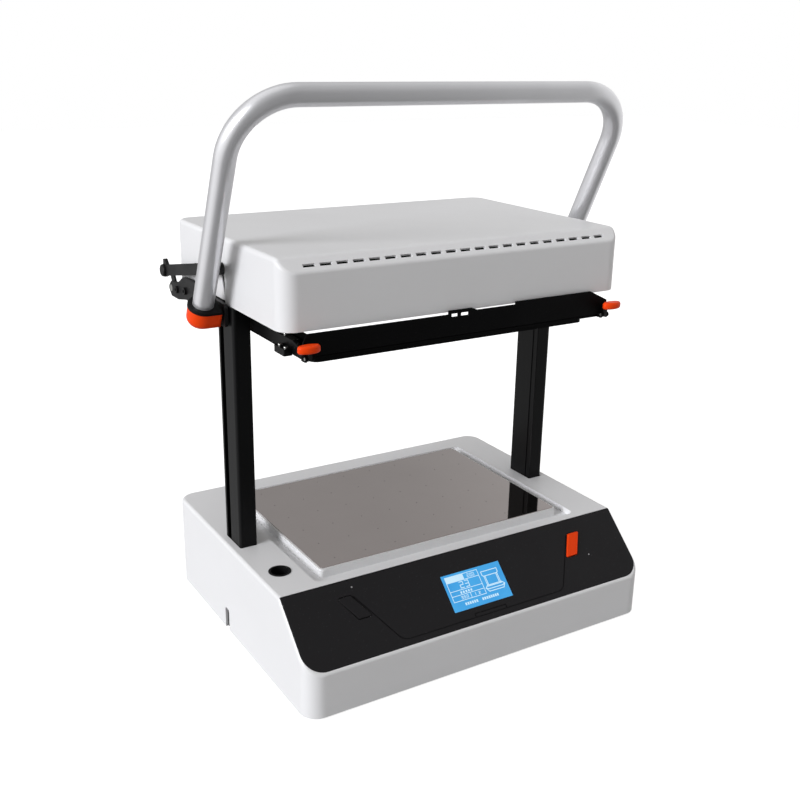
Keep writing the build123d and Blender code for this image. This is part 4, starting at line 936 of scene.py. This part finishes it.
@dataclass(frozen=True)
class Sun:
    """A lamp that shines from a direction, with its apparent size in degrees."""

    name: str
    power: float
    toward: Point3
    spread: float
    colour: Colour

    def build(self) -> None:
        """Add the lamp."""
        lamp = bpy.data.lights.new(self.name, "SUN")
        lamp.energy = self.power
        lamp.color = self.colour
        lamp.angle = math.radians(self.spread)
        obj = bpy.data.objects.new(self.name, lamp)
        obj.rotation_euler = Vector(self.toward).to_track_quat("Z", "Y").to_euler()
        bpy.context.scene.collection.objects.link(obj)


@dataclass(frozen=True)
class Studio:
    """Floor, background, lamps and camera."""

    suns: tuple[Sun, ...] = (
        Sun("key_lamp", 2.65, (-0.9, -0.13, 0.36), 30.0, (0.962, 0.972, 1.0)),
        Sun("top_lamp", 0.31, (-0.2, 0.15, 1.0), 60.0, (1.0, 1.0, 1.0)),
    )
    sky: float = 0.405
    sky_colour: Colour = (1.0, 0.985, 0.965)
    background: Colour = (1.0, 1.0, 1.0)
    mirror_depth: Range = (-0.3, 0.8)
    mirror_front: float = 0.28
    mirror_back: float = 0.6
    mirror_width: Range = (0.45, 0.95)
    mirror_side: float = 1.0
    mirror_height: Range = (0.3, 0.9)
    mirror_top: float = 0.25
    floor_size: float = 14.0
    floor_colour: Colour = (0.42, 0.42, 0.42)
    floor_roughness: float = 0.9
    floor_glow: float = 0.9
    camera_place: Point3 = (-0.60257, -0.95626, 0.63737)
    camera_right: Point3 = (0.85343507, -0.52092267, 0.01697506)
    camera_up: Point3 = (0.15496385, 0.28470656, 0.94600654)
    camera_forward: Point3 = (0.49762916, 0.80472464, -0.32370275)
    lens: float = 46.745
    sensor: float = 36.0
    far: float = 50.0

    def build(self) -> None:
        """Build everything around the machine."""
        self._world()
        self._floor()
        for sun in self.suns:
            sun.build()
        self._camera()
        LOG.info("studio ready")

    def _world(self) -> None:
        """Show plain white to the camera, a room darker in front to metal, and light softly."""
        world = bpy.data.worlds.new("studio")
        bpy.context.scene.world = world
        world.use_nodes = True
        tree = world.node_tree
        tree.nodes.clear()
        output = tree.nodes.new("ShaderNodeOutputWorld")
        soft = tree.nodes.new("ShaderNodeBackground")
        soft.inputs["Color"].default_value = (*self.sky_colour, 1.0)
        soft.inputs["Strength"].default_value = self.sky
        plain = tree.nodes.new("ShaderNodeBackground")
        plain.inputs["Color"].default_value = (*self.background, 1.0)
        room = tree.nodes.new("ShaderNodeBackground")
        tree.links.new(self._room(tree), room.inputs["Strength"])
        path = tree.nodes.new("ShaderNodeLightPath")
        total = soft.outputs["Background"]
        rays = (("Is Glossy Ray", room), ("Is Transmission Ray", plain), ("Is Camera Ray", plain))
        for name, shown in rays:
            mix = tree.nodes.new("ShaderNodeMixShader")
            tree.links.new(path.outputs[name], mix.inputs["Fac"])
            tree.links.new(total, mix.inputs[1])
            tree.links.new(shown.outputs["Background"], mix.inputs[2])
            total = mix.outputs["Shader"]
        tree.links.new(total, output.inputs["Surface"])

    def _room(self, tree: bpy.types.NodeTree) -> bpy.types.NodeSocket:
        """Return the brightness that metal mirrors.

        Args:
            tree: The world's nodes.

        Returns:
            The brightness: high to both sides, lower behind, and lowest in front.
        """
        place = tree.nodes.new("ShaderNodeTexCoord")
        split = tree.nodes.new("ShaderNodeSeparateXYZ")
        tree.links.new(place.outputs["Generated"], split.inputs["Vector"])
        sideways = tree.nodes.new("ShaderNodeMath")
        sideways.operation = "ABSOLUTE"
        tree.links.new(split.outputs["X"], sideways.inputs[0])
        total = self._ramp(tree, split.outputs["Y"], self.mirror_depth,
                           (self.mirror_front, self.mirror_back))
        for source, reach, level in (
            (sideways.outputs["Value"], self.mirror_width, self.mirror_side),
            (split.outputs["Z"], self.mirror_height, self.mirror_top),
        ):
            added = tree.nodes.new("ShaderNodeMath")
            tree.links.new(total, added.inputs[0])
            tree.links.new(self._ramp(tree, source, reach, (0.0, level)), added.inputs[1])
            total = added.outputs["Value"]
        return total

    @staticmethod
    def _ramp(tree: bpy.types.NodeTree, source: bpy.types.NodeSocket, reach: Range,
              level: Range) -> bpy.types.NodeSocket:
        """Ramp a value smoothly from one level to another.

        Args:
            tree: The world's nodes.
            source: The value.
            reach: Where the ramp starts and ends.
            level: The levels there.

        Returns:
            The ramped value.
        """
        ramp = tree.nodes.new("ShaderNodeMapRange")
        ramp.interpolation_type = "SMOOTHSTEP"
        ramp.inputs["From Min"].default_value, ramp.inputs["From Max"].default_value = reach
        ramp.inputs["To Min"].default_value, ramp.inputs["To Max"].default_value = level
        tree.links.new(source, ramp.inputs["Value"])
        return ramp.outputs["Result"]

    def _floor(self) -> None:
        """Lay a pale floor that keeps the machine's shadow and glows for the camera alone."""
        mesh = bpy.data.meshes.new("floor")
        half = self.floor_size / 2
        square = [(-half, -half, 0), (half, -half, 0), (half, half, 0), (-half, half, 0)]
        mesh.from_pydata(square, [], [(0, 1, 2, 3)])
        floor = bpy.data.objects.new("floor", mesh)
        bpy.context.scene.collection.objects.link(floor)
        shader = Shader("studio_floor")
        shader.set(Base_Color=self.floor_colour, Roughness=self.floor_roughness,
                   Specular_IOR_Level=0.0)
        nodes, links = shader.tree.nodes, shader.tree.links
        glow = nodes.new("ShaderNodeEmission")
        path = nodes.new("ShaderNodeLightPath")
        scale = nodes.new("ShaderNodeMath")
        scale.operation = "MULTIPLY"
        scale.inputs[1].default_value = self.floor_glow
        links.new(path.outputs["Is Camera Ray"], scale.inputs[0])
        links.new(scale.outputs["Value"], glow.inputs["Strength"])
        add = nodes.new("ShaderNodeAddShader")
        links.new(shader.bsdf.outputs["BSDF"], add.inputs[0])
        links.new(glow.outputs["Emission"], add.inputs[1])
        links.new(add.outputs["Shader"], shader.output.inputs["Surface"])
        floor.data.materials.append(shader.material)
        floor.visible_glossy = False

    def _camera(self) -> None:
        """Place the camera where the picture was taken."""
        data = bpy.data.cameras.new("view")
        data.lens = self.lens
        data.sensor_width = self.sensor
        data.clip_end = self.far
        camera = bpy.data.objects.new("view", data)
        right, up = Vector(self.camera_right), Vector(self.camera_up)
        turn = Matrix((right, up, -Vector(self.camera_forward))).transposed()
        camera.matrix_world = Matrix.Translation(self.camera_place) @ turn.to_4x4()
        bpy.context.scene.collection.objects.link(camera)
        bpy.context.scene.camera = camera


def main() -> None:
    """Dress the machine, add its pieces and set up the studio."""
    logging.basicConfig(level=logging.INFO, format="%(message)s")
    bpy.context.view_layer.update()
    bpy.context.scene.view_settings.view_transform = "Standard"
    dresser = Dresser()
    dresser.dress_nodes()
    Screen().build(dresser)
    Studio().build()


if __name__ == "__main__":
    main()
